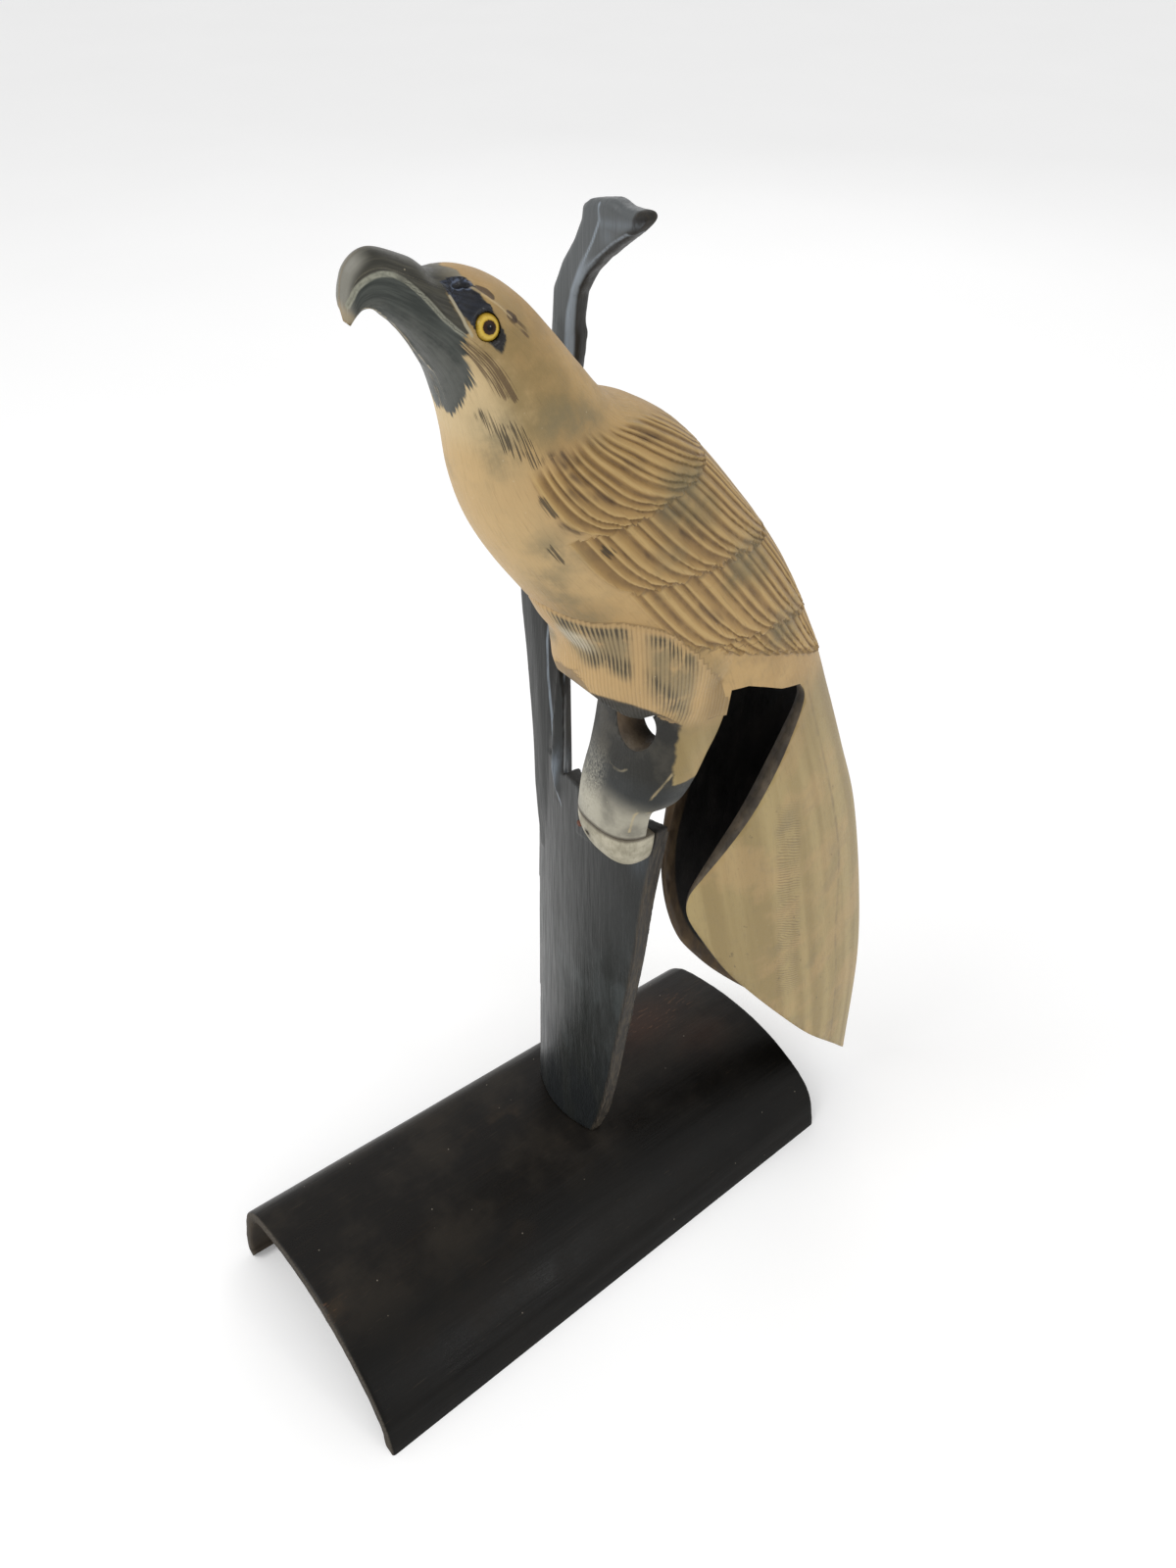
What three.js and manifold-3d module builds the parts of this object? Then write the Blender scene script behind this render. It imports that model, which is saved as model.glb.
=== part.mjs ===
// Horn bird of prey on a branch, with its arched plinth. Millimetres, +Z up, +X towards the beak, +Y to the
// bird's left.
import * as THREE from "three";
import { mergeVertices } from "three/addons/utils/BufferGeometryUtils.js";
import Module from "manifold-3d";

const wasm = await Module();
wasm.setup();

// Gap between pieces that touch
const GAP = 0.3;

// How far cutters reach past the middle line, and past everything
const THROUGH = 60;
const FAR = 200;

// Plinth: one arched plate along X, its back edge curled under
const PLATE_FRONT_END = 134.5;
const PLATE_REAR_END = -125.5;
const PLATE_THICKNESS = 6;
const PLATE_ARCH = [
  [58, 0], [55.5, 6], [50.5, 13.5], [38, 24.5], [20, 34], [0, 40], [-20, 42.4], [-40, 41.6], [-51, 38.6],
  [-58, 30.5], [-60.2, 18], [-60.6, 8], [-59, 2.5], [-55.5, 0],
];
const PLATE_FRONT_SLANT = 7;
const PLATE_REAR_SLANT = 20;
const PLATE_END_LEAN = -0.12;
const PLATE_END_DISH = 0.8;
const PLATE_REAR_BULGE = 1.5;
const PLATE_WIDEST = 70;
const PLATE_CORNER = 11;
const PLATE_TAPER = 0.06;
const PLATE_REAR_DROP = 0.08;
const PLATE_DROP_START = -30;
const PLATE_STEPS = 28;

// Slab: a curved strip of horn that widens upwards. Each level has the strip's two edges in Y, and how far
// the edges lie behind the middle of the front face.
const SLAB_FRONT = -12;
const SLAB_THICKNESS = 6;
const SLAB_LEVELS = [
  { z: 26, left: -36, right: 3, sag: 6 },
  { z: 63, left: -35, right: 14, sag: 7 },
  { z: 127, left: -33.5, right: 24.2, sag: 7.5 },
  { z: 177, left: -32.5, right: 31.4, sag: 8 },
  { z: 218, left: -31.5, right: 35.8, sag: 8.5 },
  { z: 262, left: -31.5, right: 42.2, sag: 9 },
];
const NOTCH_Y = -8;
const NOTCH_DEPTH = 7.5;
const NOTCH_HALF_WIDTH = 3.5;
const STUB_SLOPE = 5;

// Limb: a faceted bough that leaves the slab, passes the bird and ends in a cut hook
const LIMB_FACETS = 10;
const LIMB_LEVELS = [
  { x: -20, y: -21, z: 206, half: 8.5, depth: 3.5 },
  { x: -19.5, y: -20.8, z: 236, half: 9.8, depth: 4.5 },
  { x: -19.5, y: -20.6, z: 262, half: 10, depth: 5 },
  { x: -20, y: -22.6, z: 300, half: 11.5, depth: 5 },
  { x: -21, y: -26, z: 328, half: 11.8, depth: 5 },
  { x: -22.5, y: -26.5, z: 360, half: 10, depth: 5 },
  { x: -24, y: -20.3, z: 392, half: 8.2, depth: 4.8 },
  { x: -25, y: -14.6, z: 418, half: 6.4, depth: 4.4 },
  { x: -25, y: -13.9, z: 424, half: 5.7, depth: 4.2 },
  { x: -25, y: -12.4, z: 434, half: 3.4, depth: 2.8 },
];
const HOOK_OUTLINE = [
  [-19.2, 422], [-18, 434], [-13.5, 442.5], [-7.7, 450], [-4.4, 456], [-4, 459.5], [-1, 461.5], [9, 463.5],
  [14.5, 462.2], [22, 462.6], [23.5, 461], [22, 459], [18, 455.6], [12, 451.4], [5, 446.4], [-1.5, 440.6],
  [-6.6, 433.5], [-9, 422],
];
const HOOK_X = -25;
const HOOK_THICKNESS = 7.4;
const HOOK_CHAMFER = 1.6;

// Bird: one hollow horn. Each rib has the points on the bird's back and on its front, as X and Z, and the
// half width. The bird stands beside the plinth's middle line.
const BIRD_SIDE = 35;
const RING_POINTS = 40;
const RIBS = [
  { back: [-166, -12], front: [-84, 16], half: 17 },
  { back: [-163, 40], front: [-64, 68], half: 19.5 },
  { back: [-159, 104], front: [-50, 122], half: 21 },
  { back: [-149, 158], front: [-36, 174], half: 22 },
  { back: [-133, 217], front: [-22, 230], half: 23.5 },
  { back: [-117, 256], front: [-12, 274], half: 25 },
  { back: [-102, 291], front: [0, 312], half: 26 },
  { back: [-88, 321.2], front: [6, 336], half: 27.5 },
  { back: [-66, 360], front: [12.6, 350.4], half: 28.5 },
  { back: [-39.5, 393.7], front: [25, 368.7], half: 28.5 },
  { back: [-22, 412.4], front: [36.4, 385.6], half: 27 },
  { back: [-8.3, 421.8], front: [43.5, 399], half: 24.5 },
  { back: [2.8, 426.8], front: [47.5, 412], half: 21 },
  { back: [12, 437], front: [49, 424], half: 18.5 },
  { back: [19.8, 446.5], front: [50.6, 433], half: 17 },
  { back: [28.7, 456.4], front: [53, 441.5], half: 15.5 },
  { back: [37.8, 463], front: [56.5, 448], half: 13 },
  { back: [49, 466.5], front: [60, 453.5], half: 9.5 },
  { back: [57, 469.8], front: [63, 457], half: 7 },
  { back: [66, 473.2], front: [66.6, 460], half: 5.5 },
  { back: [72, 470.7], front: [69.2, 460.5], half: 4 },
  { back: [74.3, 464.8], front: [71, 459.5], half: 2.8 },
  { back: [74, 459], front: [72.6, 457.6], half: 1 },
];
const STEPS_PER_RIB = 2;
const HOLLOW_RIBS = [
  { back: [-161.5, -22], front: [-70, 6], half: 12 },
  { back: [-158, 40], front: [-59, 66], half: 14 },
  { back: [-153, 104], front: [-45, 121], half: 15.2 },
  { back: [-143, 158], front: [-31, 173], half: 16.2 },
  { back: [-127, 216], front: [-17, 228], half: 17.6 },
  { back: [-111.5, 255], front: [-20, 270], half: 19.2 },
  { back: [-96.5, 289], front: [-31, 302], half: 20.2 },
  { back: [-82, 318], front: [-33, 329], half: 21.6 },
  { back: [-60, 353], front: [-22, 346], half: 21.5 },
  { back: [-38, 381], front: [-6, 367], half: 17 },
  { back: [-20, 396], front: [4, 384], half: 8 },
];

// Feather tiers: where each tier ends at the middle of the side, counted in ribs from the tail, how many ribs
// lower it lies at the back, and how far its lower edge stands out
const TIER_ENDS = [7.5, 7.76, 8.87, 10.15];
const TIER_LEANS = [0.8, 0.36, 0.55, 0.62];
const WING_TOP = 12.3;
const LEAN_STARTS = 5.5;
const LEAN_STOPS = 13.5;
const LEAN_TOWARDS_BELLY = -0.3;
const TIER_RISE = 1.7;
const TIER_STEP = 0.02;
const TIER_CLEARANCE = 0.16;
const TIP_STAGGER = 0.13;
const TIP_ASIDE = 0.35;
const WING_ALONG_BACK = 0.93;
const WING_ALONG_BELLY = -0.42;
const BACK_FADE = 0.12;
const BELLY_FADE = 0.2;

// Side outline of the tail: from the side opening down the cut edge and round to the tip, on the bird's left
// and right
const TAIL_EDGE_LEFT = [
  [-66, 314], [-70, 306], [-64, 292], [-57, 277], [-50, 262], [-42, 247], [-36, 235], [-32.5, 224],
  [-34, 211], [-42, 193], [-54, 170], [-67, 150], [-86, 123], [-109, 92], [-136, 60], [-166, 22], [-200, -14],
];
const TAIL_EDGE_RIGHT = [
  [-66, 314], [-70, 306], [-67, 290], [-62, 272], [-57, 256], [-51, 240], [-46.5, 224], [-45, 210],
  [-45.5, 197], [-48, 184], [-53, 169], [-61, 153], [-79, 126], [-106, 92], [-136, 59], [-166, 22],
  [-200, -14],
];
const BELLY_EDGE = [[-31, 328], [-38, 327], [-46, 323], [-55, 318]];
const THIGH_EDGE = [[90, 342], [14, 342], [11, 335], [5, 328.5], [-4, 322.5], [-31, 317.5]];
const UNDER_TAIL = [[-200, -60], [90, -60]];
const THIGH_ROLL = { x: -22, z: 346, reach: 37, half: 28.6, tall: 34 };

// Legs and foot: both legs are one block with a window between them
const LEG_LEVELS = [
  { z: 332, front: 0, rear: -44, y: 35, half: 25 },
  { z: 318, front: -10, rear: -44, y: 34.6, half: 24 },
  { z: 302, front: -9.5, rear: -40, y: 33.2, half: 22.8 },
  { z: 288, front: -7, rear: -36, y: 32, half: 21.5 },
  { z: 280, front: -5.2, rear: -34, y: 30.5, half: 20.5 },
  { z: 274, front: -4.2, rear: -32, y: 28, half: 18 },
  { z: 262, front: -3, rear: -32, y: 26.5, half: 17 },
];
const LEG_REAR = [
  [-60, 255], [-13.5, 255], [-13.5, 277], [-20.5, 281], [-25, 290], [-28, 300], [-31, 308], [-32.5, 318],
  [-31.5, 329], [-60, 334],
];
const LEG_ROUNDING = 2.6;
const LEG_WINDOW = { y: 38.6, low: 300.5, high: 325, halfWidth: 9.1 };
const SHIN_HOLLOW = [
  { z: 331, front: -26.5, rear: -60, y: 34, half: 17 },
  { z: 302, front: -20.5, rear: -60, y: 34, half: 17 },
  { z: 288, front: -24.5, rear: -60, y: 34, half: 10.2 },
];
const FOOT_BOTTOM = 262;
const TOE_LEVELS = [
  { z: 262, front: -3, y: 26.5, half: 17 },
  { z: 256, front: -3.2, y: 26.5, half: 16.4 },
  { z: 250, front: -5, y: 27, half: 14.5 },
  { z: 245.5, front: -8, y: 27.5, half: 11 },
  { z: 241.5, front: -12, y: 28, half: 6 },
];
const TOE_BACK = -17.5;
const SLAB_DEPTH_BEHIND_TOE = 30;
const NAIL_HOLE = { x: -6, y: 22.8, z: 255.1, radius: 1.1, depth: 6 };
const PIN = { y: 7.4, z: 244, radius: 1.3, length: 4, proud: 0.8 };

// Eyes: glass balls set in round sockets
const EYE = { x: 44.7, z: 454.3, aside: 11.2, radius: 3.6 };

function solidOf(geometry) {
  const plain = geometry.clone();
  plain.deleteAttribute("normal");
  plain.deleteAttribute("uv");
  const merged = mergeVertices(plain, 1e-4);
  const mesh = new wasm.Mesh({
    numProp: 3,
    vertProperties: new Float32Array(merged.attributes.position.array),
    triVerts: new Uint32Array(merged.index.array),
  });
  return new wasm.Manifold(mesh);
}

function meshOf(solid, name, material) {
  const result = solid.getMesh();
  const geometry = new THREE.BufferGeometry();
  geometry.setAttribute("position", new THREE.BufferAttribute(new Float32Array(result.vertProperties), 3));
  geometry.setIndex(new THREE.BufferAttribute(new Uint32Array(result.triVerts), 1));
  const mesh = new THREE.Mesh(geometry, material);
  mesh.name = name;
  return mesh;
}

function joined(solids) {
  return solids.reduce((sum, solid) => sum.add(solid));
}

// A closed skin through rings of points, with a flat fan over each end
function loft(rings) {
  const count = rings[0].length;
  const positions = rings.flat().flatMap((point) => [point.x, point.y, point.z]);
  const faces = [];
  for (let level = 0; level < rings.length - 1; level += 1) {
    for (let i = 0; i < count; i += 1) {
      const a = level * count + i;
      const b = level * count + ((i + 1) % count);
      faces.push(a, b, b + count, a, b + count, a + count);
    }
  }
  for (const [level, facesUp] of [[0, false], [rings.length - 1, true]]) {
    const middle = new THREE.Vector3();
    rings[level].forEach((point) => middle.addScaledVector(point, 1 / count));
    const hub = positions.length / 3;
    positions.push(middle.x, middle.y, middle.z);
    for (let i = 0; i < count; i += 1) {
      const a = level * count + i;
      const b = level * count + ((i + 1) % count);
      faces.push(...(facesUp ? [a, b, hub] : [b, a, hub]));
    }
  }
  const geometry = new THREE.BufferGeometry();
  geometry.setAttribute("position", new THREE.Float32BufferAttribute(positions, 3));
  geometry.setIndex(faces);
  return solidOf(geometry);
}

// Turns a shape drawn flat so that it faces +X
function facingForward(geometry) {
  const basis = new THREE.Matrix4().makeBasis(
    new THREE.Vector3(0, 1, 0),
    new THREE.Vector3(0, 0, 1),
    new THREE.Vector3(1, 0, 0),
  );
  return geometry.applyMatrix4(basis);
}

function shapeOf(outline) {
  return new THREE.Shape(outline.map(([across, up]) => new THREE.Vector2(across, up)));
}

// A solid whose side outline is given as X and Z, reaching from one Y to another
function sideways(outline, fromY, toY) {
  const geometry = new THREE.ExtrudeGeometry(shapeOf(outline), { depth: toY - fromY, bevelEnabled: false });
  geometry.rotateX(Math.PI / 2);
  geometry.translate(0, toY, 0);
  return solidOf(geometry);
}

// A solid whose front outline is given as Y and Z, reaching from one X to another
function frontways(outline, fromX, toX) {
  const geometry = new THREE.ExtrudeGeometry(shapeOf(outline), { depth: toX - fromX, bevelEnabled: false });
  return solidOf(facingForward(geometry).translate(fromX, 0, 0));
}

function curveThrough(points) {
  return new THREE.SplineCurve(points.map(([x, y]) => new THREE.Vector2(x, y)));
}

function between(values, position) {
  const low = Math.min(Math.floor(position), values.length - 2);
  return THREE.MathUtils.lerp(values[low], values[low + 1], position - low);
}

function platePiece() {
  const outer = curveThrough(PLATE_ARCH).getPoints(PLATE_STEPS);
  const inner = outer.map((point, i) => {
    const before = outer[Math.max(i - 1, 0)];
    const after = outer[Math.min(i + 1, outer.length - 1)];
    const along = after.clone().sub(before).normalize();
    return new THREE.Vector2(point.x - along.y * PLATE_THICKNESS, point.y + along.x * PLATE_THICKNESS);
  });
  const outline = [...outer, ...inner.reverse()].map((point) => [point.x, Math.max(point.y, 0)]);
  const plate = frontways(outline, -FAR, FAR).warp((point) => {
    const behind = Math.max(PLATE_DROP_START - point[0], 0) / (PLATE_DROP_START - PLATE_REAR_END);
    point[1] *= 1 + (PLATE_TAPER * point[0]) / PLATE_FRONT_END;
    point[2] *= 1 - PLATE_REAR_DROP * behind;
  });
  return plate.intersect(plateEnds());
}

// A block that gives the plate its slanting, slightly dished ends and its worn rear corner
function plateEnds() {
  const frontLine = [];
  const rearLine = [];
  for (let i = 0; i <= 8; i += 1) {
    const side = i / 4 - 1;
    const middle = 1 - side * side;
    const worn = PLATE_CORNER * THREE.MathUtils.smoothstep(side, 0.6, 1);
    const frontSlant = (PLATE_FRONT_SLANT / 2) * side;
    const rearSlant = (PLATE_REAR_SLANT / 2) * side;
    frontLine.push([PLATE_FRONT_END - frontSlant - PLATE_END_DISH * middle, PLATE_WIDEST * side]);
    rearLine.push([PLATE_REAR_END - rearSlant - PLATE_REAR_BULGE * middle + worn, PLATE_WIDEST * side]);
  }
  const block = new THREE.ExtrudeGeometry(shapeOf([...frontLine, ...rearLine.reverse()]), {
    depth: 2 * FAR,
    bevelEnabled: false,
  });
  block.translate(0, 0, -FAR);
  return solidOf(block.applyMatrix4(new THREE.Matrix4().makeShear(0, 0, 0, 0, PLATE_END_LEAN, 0)));
}

// Everything under the plinth's arch, grown by the gap, to cut the slab's foot to the arch
function underArch() {
  const outer = curveThrough(PLATE_ARCH).getPoints(PLATE_STEPS).map((point) => [point.x, point.y + GAP]);
  return frontways([...outer, [-57, -60], [58, -60]], -FAR, FAR);
}

// The slab, or with growth the room it needs, or with a larger thickness also what lies behind it
function slabSolid(grow, thickness) {
  const rings = SLAB_LEVELS.map((level) => {
    const points = [];
    const steps = 12;
    const middle = (level.left + level.right) / 2;
    const half = (level.right - level.left) / 2 + grow;
    const back = [];
    for (let i = 0; i <= steps; i += 1) {
      const side = (2 * i) / steps - 1;
      const x = SLAB_FRONT + grow - level.sag * side * side;
      points.push(new THREE.Vector3(x, middle + half * side, level.z));
      back.push(new THREE.Vector3(x - thickness - 2 * grow, middle + half * side, level.z));
    }
    return [...points, ...back.reverse()];
  });
  rings[0].forEach((point) => point.setZ(point.z - grow));
  rings[rings.length - 1].forEach((point) => point.setZ(point.z + grow));
  return loft(rings);
}

function limbSolid() {
  const rings = LIMB_LEVELS.map((level) => {
    const points = [];
    for (let i = 0; i < LIMB_FACETS; i += 1) {
      const angle = (2 * Math.PI * (i + 0.5)) / LIMB_FACETS;
      const across = Math.sin(angle) * level.half;
      const out = Math.cos(angle) * level.depth;
      points.push(new THREE.Vector3(level.x + out, level.y + across, level.z));
    }
    return points;
  });
  return loft(rings);
}

function hookSolid() {
  const geometry = new THREE.ExtrudeGeometry(shapeOf(HOOK_OUTLINE), {
    depth: HOOK_THICKNESS - 2 * HOOK_CHAMFER,
    bevelThickness: HOOK_CHAMFER,
    bevelSize: HOOK_CHAMFER,
    bevelOffset: -HOOK_CHAMFER,
    bevelSegments: 1,
  });
  return solidOf(facingForward(geometry).translate(HOOK_X - HOOK_THICKNESS / 2 + HOOK_CHAMFER, 0, 0));
}

function branchPiece() {
  const top = SLAB_LEVELS[SLAB_LEVELS.length - 1].z;
  const notch = frontways([
    [NOTCH_Y - NOTCH_HALF_WIDTH, top + 1], [NOTCH_Y - 1, top - NOTCH_DEPTH], [NOTCH_Y + 1, top - NOTCH_DEPTH],
    [NOTCH_Y + NOTCH_HALF_WIDTH, top - 3], [NOTCH_Y + NOTCH_HALF_WIDTH + 3, top + 1],
  ], -THROUGH, THROUGH);
  const slope = frontways(
    [[0, top], [THROUGH, top - STUB_SLOPE], [THROUGH, top + 10], [0, top + 10]],
    -THROUGH,
    THROUGH,
  );
  const slab = slabSolid(0, SLAB_THICKNESS).subtract(slope).subtract(notch);
  return joined([slab, limbSolid(), hookSolid()]).subtract(underArch()).subtract(pinRod(GAP, 0));
}

// The slab's front face beside the toe piece
function pinFace() {
  const level = SLAB_LEVELS[SLAB_LEVELS.length - 1];
  const side = (PIN.y - (level.left + level.right) / 2) / ((level.right - level.left) / 2);
  return SLAB_FRONT - level.sag * side * side;
}

// A rod along X at the pin's place, grown all round and with its inner end held short of the hole's end
function pinRod(grow, short) {
  const pin = new THREE.CylinderGeometry(PIN.radius + grow, PIN.radius + grow, PIN.length - short, 16);
  pin.rotateZ(Math.PI / 2);
  pin.translate(pinFace() + PIN.proud - (PIN.length - short) / 2, PIN.y, PIN.z);
  return solidOf(pin);
}

// How far a feather tier stands out of the body, at a position along the ribs and towards the back (+1) or
// the belly (-1)
function tierRise(position, towardsBack) {
  if (position < TIER_ENDS[0] || position > WING_TOP) {
    return 0;
  }
  const tiers = [...TIER_ENDS, WING_TOP];
  const tier = tiers.findIndex((end) => position < end) - 1;
  const up = (position - tiers[tier]) / (tiers[tier + 1] - tiers[tier]);
  const backFade = THREE.MathUtils.smoothstep(WING_ALONG_BACK - towardsBack, 0, BACK_FADE);
  const bellyFade = THREE.MathUtils.smoothstep(towardsBack - WING_ALONG_BELLY, 0, BELLY_FADE);
  return TIER_RISE * (1 - up) * backFade * bellyFade;
}

// How many ribs a ring of the carved horn lies lower at the back than at the middle of the side
function tierLean(position) {
  const places = [LEAN_STARTS, ...TIER_ENDS, LEAN_STOPS];
  const leans = [0, ...TIER_LEANS, 0];
  if (position <= LEAN_STARTS || position >= LEAN_STOPS) {
    return 0;
  }
  const next = places.findIndex((place) => position < place);
  const share = (position - places[next - 1]) / (places[next] - places[next - 1]);
  return THREE.MathUtils.lerp(leans[next - 1], leans[next], share);
}

function ribPositions() {
  const positions = [];
  const last = RIBS.length - 1;
  for (let i = 0; i <= last * STEPS_PER_RIB; i += 1) {
    const position = i / STEPS_PER_RIB;
    if (TIER_ENDS.every((end) => Math.abs(end - position) > TIER_CLEARANCE)) {
      positions.push(position);
    }
  }
  TIER_ENDS.forEach((end) => positions.push(end - TIER_STEP, end + TIER_STEP));
  return positions.sort((a, b) => a - b);
}

// Rings through the ribs. The carved horn has the feather tiers, with every other point of a tier's edge
// set lower for the feather tips.
function hornRings(ribs, positions, points, carved) {
  const back = curveThrough(ribs.map((rib) => rib.back));
  const front = curveThrough(ribs.map((rib) => rib.front));
  const halves = ribs.map((rib) => rib.half);
  const last = ribs.length - 1;
  return positions.map((position) => {
    const ring = [];
    const atEdge = carved && TIER_ENDS.some((end) => Math.abs(end - position) < 2 * TIER_STEP);
    for (let i = 0; i < points; i += 1) {
      const angle = (2 * Math.PI * i) / points;
      const towardsBack = Math.cos(angle);
      const aside = -Math.sin(angle);
      const isTip = atEdge && i % 2 === 1 && Math.abs(aside) > TIP_ASIDE;
      const lean = carved ? tierLean(position) * Math.max(towardsBack, LEAN_TOWARDS_BELLY) : 0;
      const place = position - lean - (isTip ? TIP_STAGGER : 0);
      const a = back.getPoint(place / last);
      const b = front.getPoint(place / last);
      const half = between(halves, place);
      const middle = a.clone().add(b).multiplyScalar(0.5);
      const reach = a.clone().sub(b).multiplyScalar(0.5);
      const rise = carved ? tierRise(position, towardsBack) : 0;
      const scale = 1 + rise / reach.length();
      ring.push(new THREE.Vector3(
        middle.x + reach.x * towardsBack * scale,
        BIRD_SIDE + aside * (half + rise),
        middle.y + reach.y * towardsBack * scale,
      ));
    }
    return ring;
  });
}

// A block given by level rings, the highest first, that are full at the sides and rounded in front
function levelBlock(levels, points) {
  const rounded = (value) => Math.sign(value) * Math.abs(value) ** (2 / LEG_ROUNDING);
  const rings = levels.map((level) => {
    const ring = [];
    const middle = (level.front + level.rear) / 2;
    const reach = (level.front - level.rear) / 2;
    for (let i = 0; i < points; i += 1) {
      const angle = (2 * Math.PI * i) / points;
      const x = middle + reach * rounded(Math.cos(angle));
      const y = level.y + level.half * rounded(Math.sin(angle));
      ring.push(new THREE.Vector3(x, y, level.z));
    }
    return ring;
  });
  return loft(rings.reverse());
}

function eyeBall(side, grow) {
  const ball = new THREE.SphereGeometry(EYE.radius + grow, 14, 10);
  ball.translate(EYE.x, BIRD_SIDE + side * EYE.aside, EYE.z);
  return solidOf(ball);
}

// What is cut away on one side of the bird: the opening under the belly, and the room before and under the
// tail
function tailOpening(edge, fromY, toY) {
  return sideways([...BELLY_EDGE, ...edge, ...UNDER_TAIL, ...THIGH_EDGE], fromY, toY);
}

function thighRoll() {
  const roll = new THREE.SphereGeometry(1, 32, 20);
  roll.scale(THIGH_ROLL.reach, THIGH_ROLL.half, THIGH_ROLL.tall);
  return solidOf(roll.translate(THIGH_ROLL.x, BIRD_SIDE, THIGH_ROLL.z));
}

function legWindow() {
  const steps = 20;
  const middle = (LEG_WINDOW.low + LEG_WINDOW.high) / 2;
  const tall = (LEG_WINDOW.high - LEG_WINDOW.low) / 2;
  const outline = [];
  for (let i = 0; i < steps; i += 1) {
    const angle = (2 * Math.PI * i) / steps;
    outline.push([LEG_WINDOW.y + LEG_WINDOW.halfWidth * Math.cos(angle), middle + tall * Math.sin(angle)]);
  }
  return frontways(outline, -THROUGH, THROUGH);
}

function birdPiece() {
  const left = BIRD_SIDE + THROUGH;
  const right = BIRD_SIDE - THROUGH;
  const hollowPositions = HOLLOW_RIBS.flatMap((rib, i) => (i ? [i - 0.5, i] : [0]));
  const low = FOOT_BOTTOM - THROUGH;
  const underFoot = [[-30, FOOT_BOTTOM], [-30, low], [40, low], [40, FOOT_BOTTOM]];
  const body = loft(hornRings(RIBS, ribPositions(), RING_POINTS, true))
    .add(thighRoll())
    .subtract(tailOpening(TAIL_EDGE_LEFT, BIRD_SIDE, left))
    .subtract(tailOpening(TAIL_EDGE_RIGHT, right, BIRD_SIDE));
  const legs = levelBlock(LEG_LEVELS, 32).subtract(sideways(LEG_REAR, right, left));
  return body
    .add(legs)
    .subtract(loft(hornRings(HOLLOW_RIBS, hollowPositions, 28, false)))
    .subtract(levelBlock(SHIN_HOLLOW, 20))
    .subtract(legWindow())
    .subtract(sideways(underFoot, right, left))
    .subtract(slabSolid(GAP, SLAB_THICKNESS))
    .subtract(eyeBall(1, GAP))
    .subtract(eyeBall(-1, GAP));
}

function toePiece() {
  const levels = TOE_LEVELS.map((level) => ({ ...level, z: level.z - GAP, rear: 2 * TOE_BACK - level.front }));
  const hole = new THREE.CylinderGeometry(NAIL_HOLE.radius, NAIL_HOLE.radius, NAIL_HOLE.depth, 12);
  hole.rotateZ(Math.PI / 2);
  hole.translate(NAIL_HOLE.x, NAIL_HOLE.y, NAIL_HOLE.z);
  const low = FOOT_BOTTOM - THROUGH;
  const high = FOOT_BOTTOM + THROUGH;
  const behind = sideways(
    [[-THROUGH, low], [TOE_BACK, low], [TOE_BACK, high], [-THROUGH, high]],
    BIRD_SIDE - THROUGH,
    BIRD_SIDE + THROUGH,
  );
  return levelBlock(levels, 32)
    .subtract(slabSolid(GAP, SLAB_DEPTH_BEHIND_TOE))
    .subtract(behind)
    .subtract(solidOf(hole));
}

const horn = new THREE.MeshStandardMaterial({ color: 0xb09264, roughness: 0.6 });
const greyHorn = new THREE.MeshStandardMaterial({ color: 0xa0987e, roughness: 0.6 });
const darkHorn = new THREE.MeshStandardMaterial({ color: 0x464a4e, roughness: 0.45 });
const blackHorn = new THREE.MeshStandardMaterial({ color: 0x1e1b18, roughness: 0.3 });
const glass = new THREE.MeshStandardMaterial({ color: 0xd8b020, roughness: 0.1 });
const rust = new THREE.MeshStandardMaterial({ color: 0x6b4030, roughness: 0.9 });

const part = new THREE.Group();
part.add(meshOf(platePiece(), "base_plate", blackHorn));
part.add(meshOf(branchPiece(), "branch", darkHorn));
part.add(meshOf(birdPiece(), "bird", horn));
part.add(meshOf(toePiece(), "toe_piece", greyHorn));
part.add(meshOf(eyeBall(1, 0), "eye_left", glass));
part.add(meshOf(eyeBall(-1, 0), "eye_right", glass));
part.add(meshOf(pinRod(0, GAP), "rusty_pin", rust));

const box = new THREE.Box3().setFromObject(part);
const centre = box.getCenter(new THREE.Vector3());
part.children.forEach((mesh) => mesh.geometry.translate(-centre.x, -centre.y, -box.min.z));

export default part;
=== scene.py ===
"""Looks of the carved horn bird on its branch and plinth. Lengths are in millimetres until to_world()."""

import itertools
import math

import bpy
import numpy as np
from mathutils import Matrix, Vector
from mathutils.bvhtree import BVHTree
from mathutils.geometry import tessellate_polygon


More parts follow.
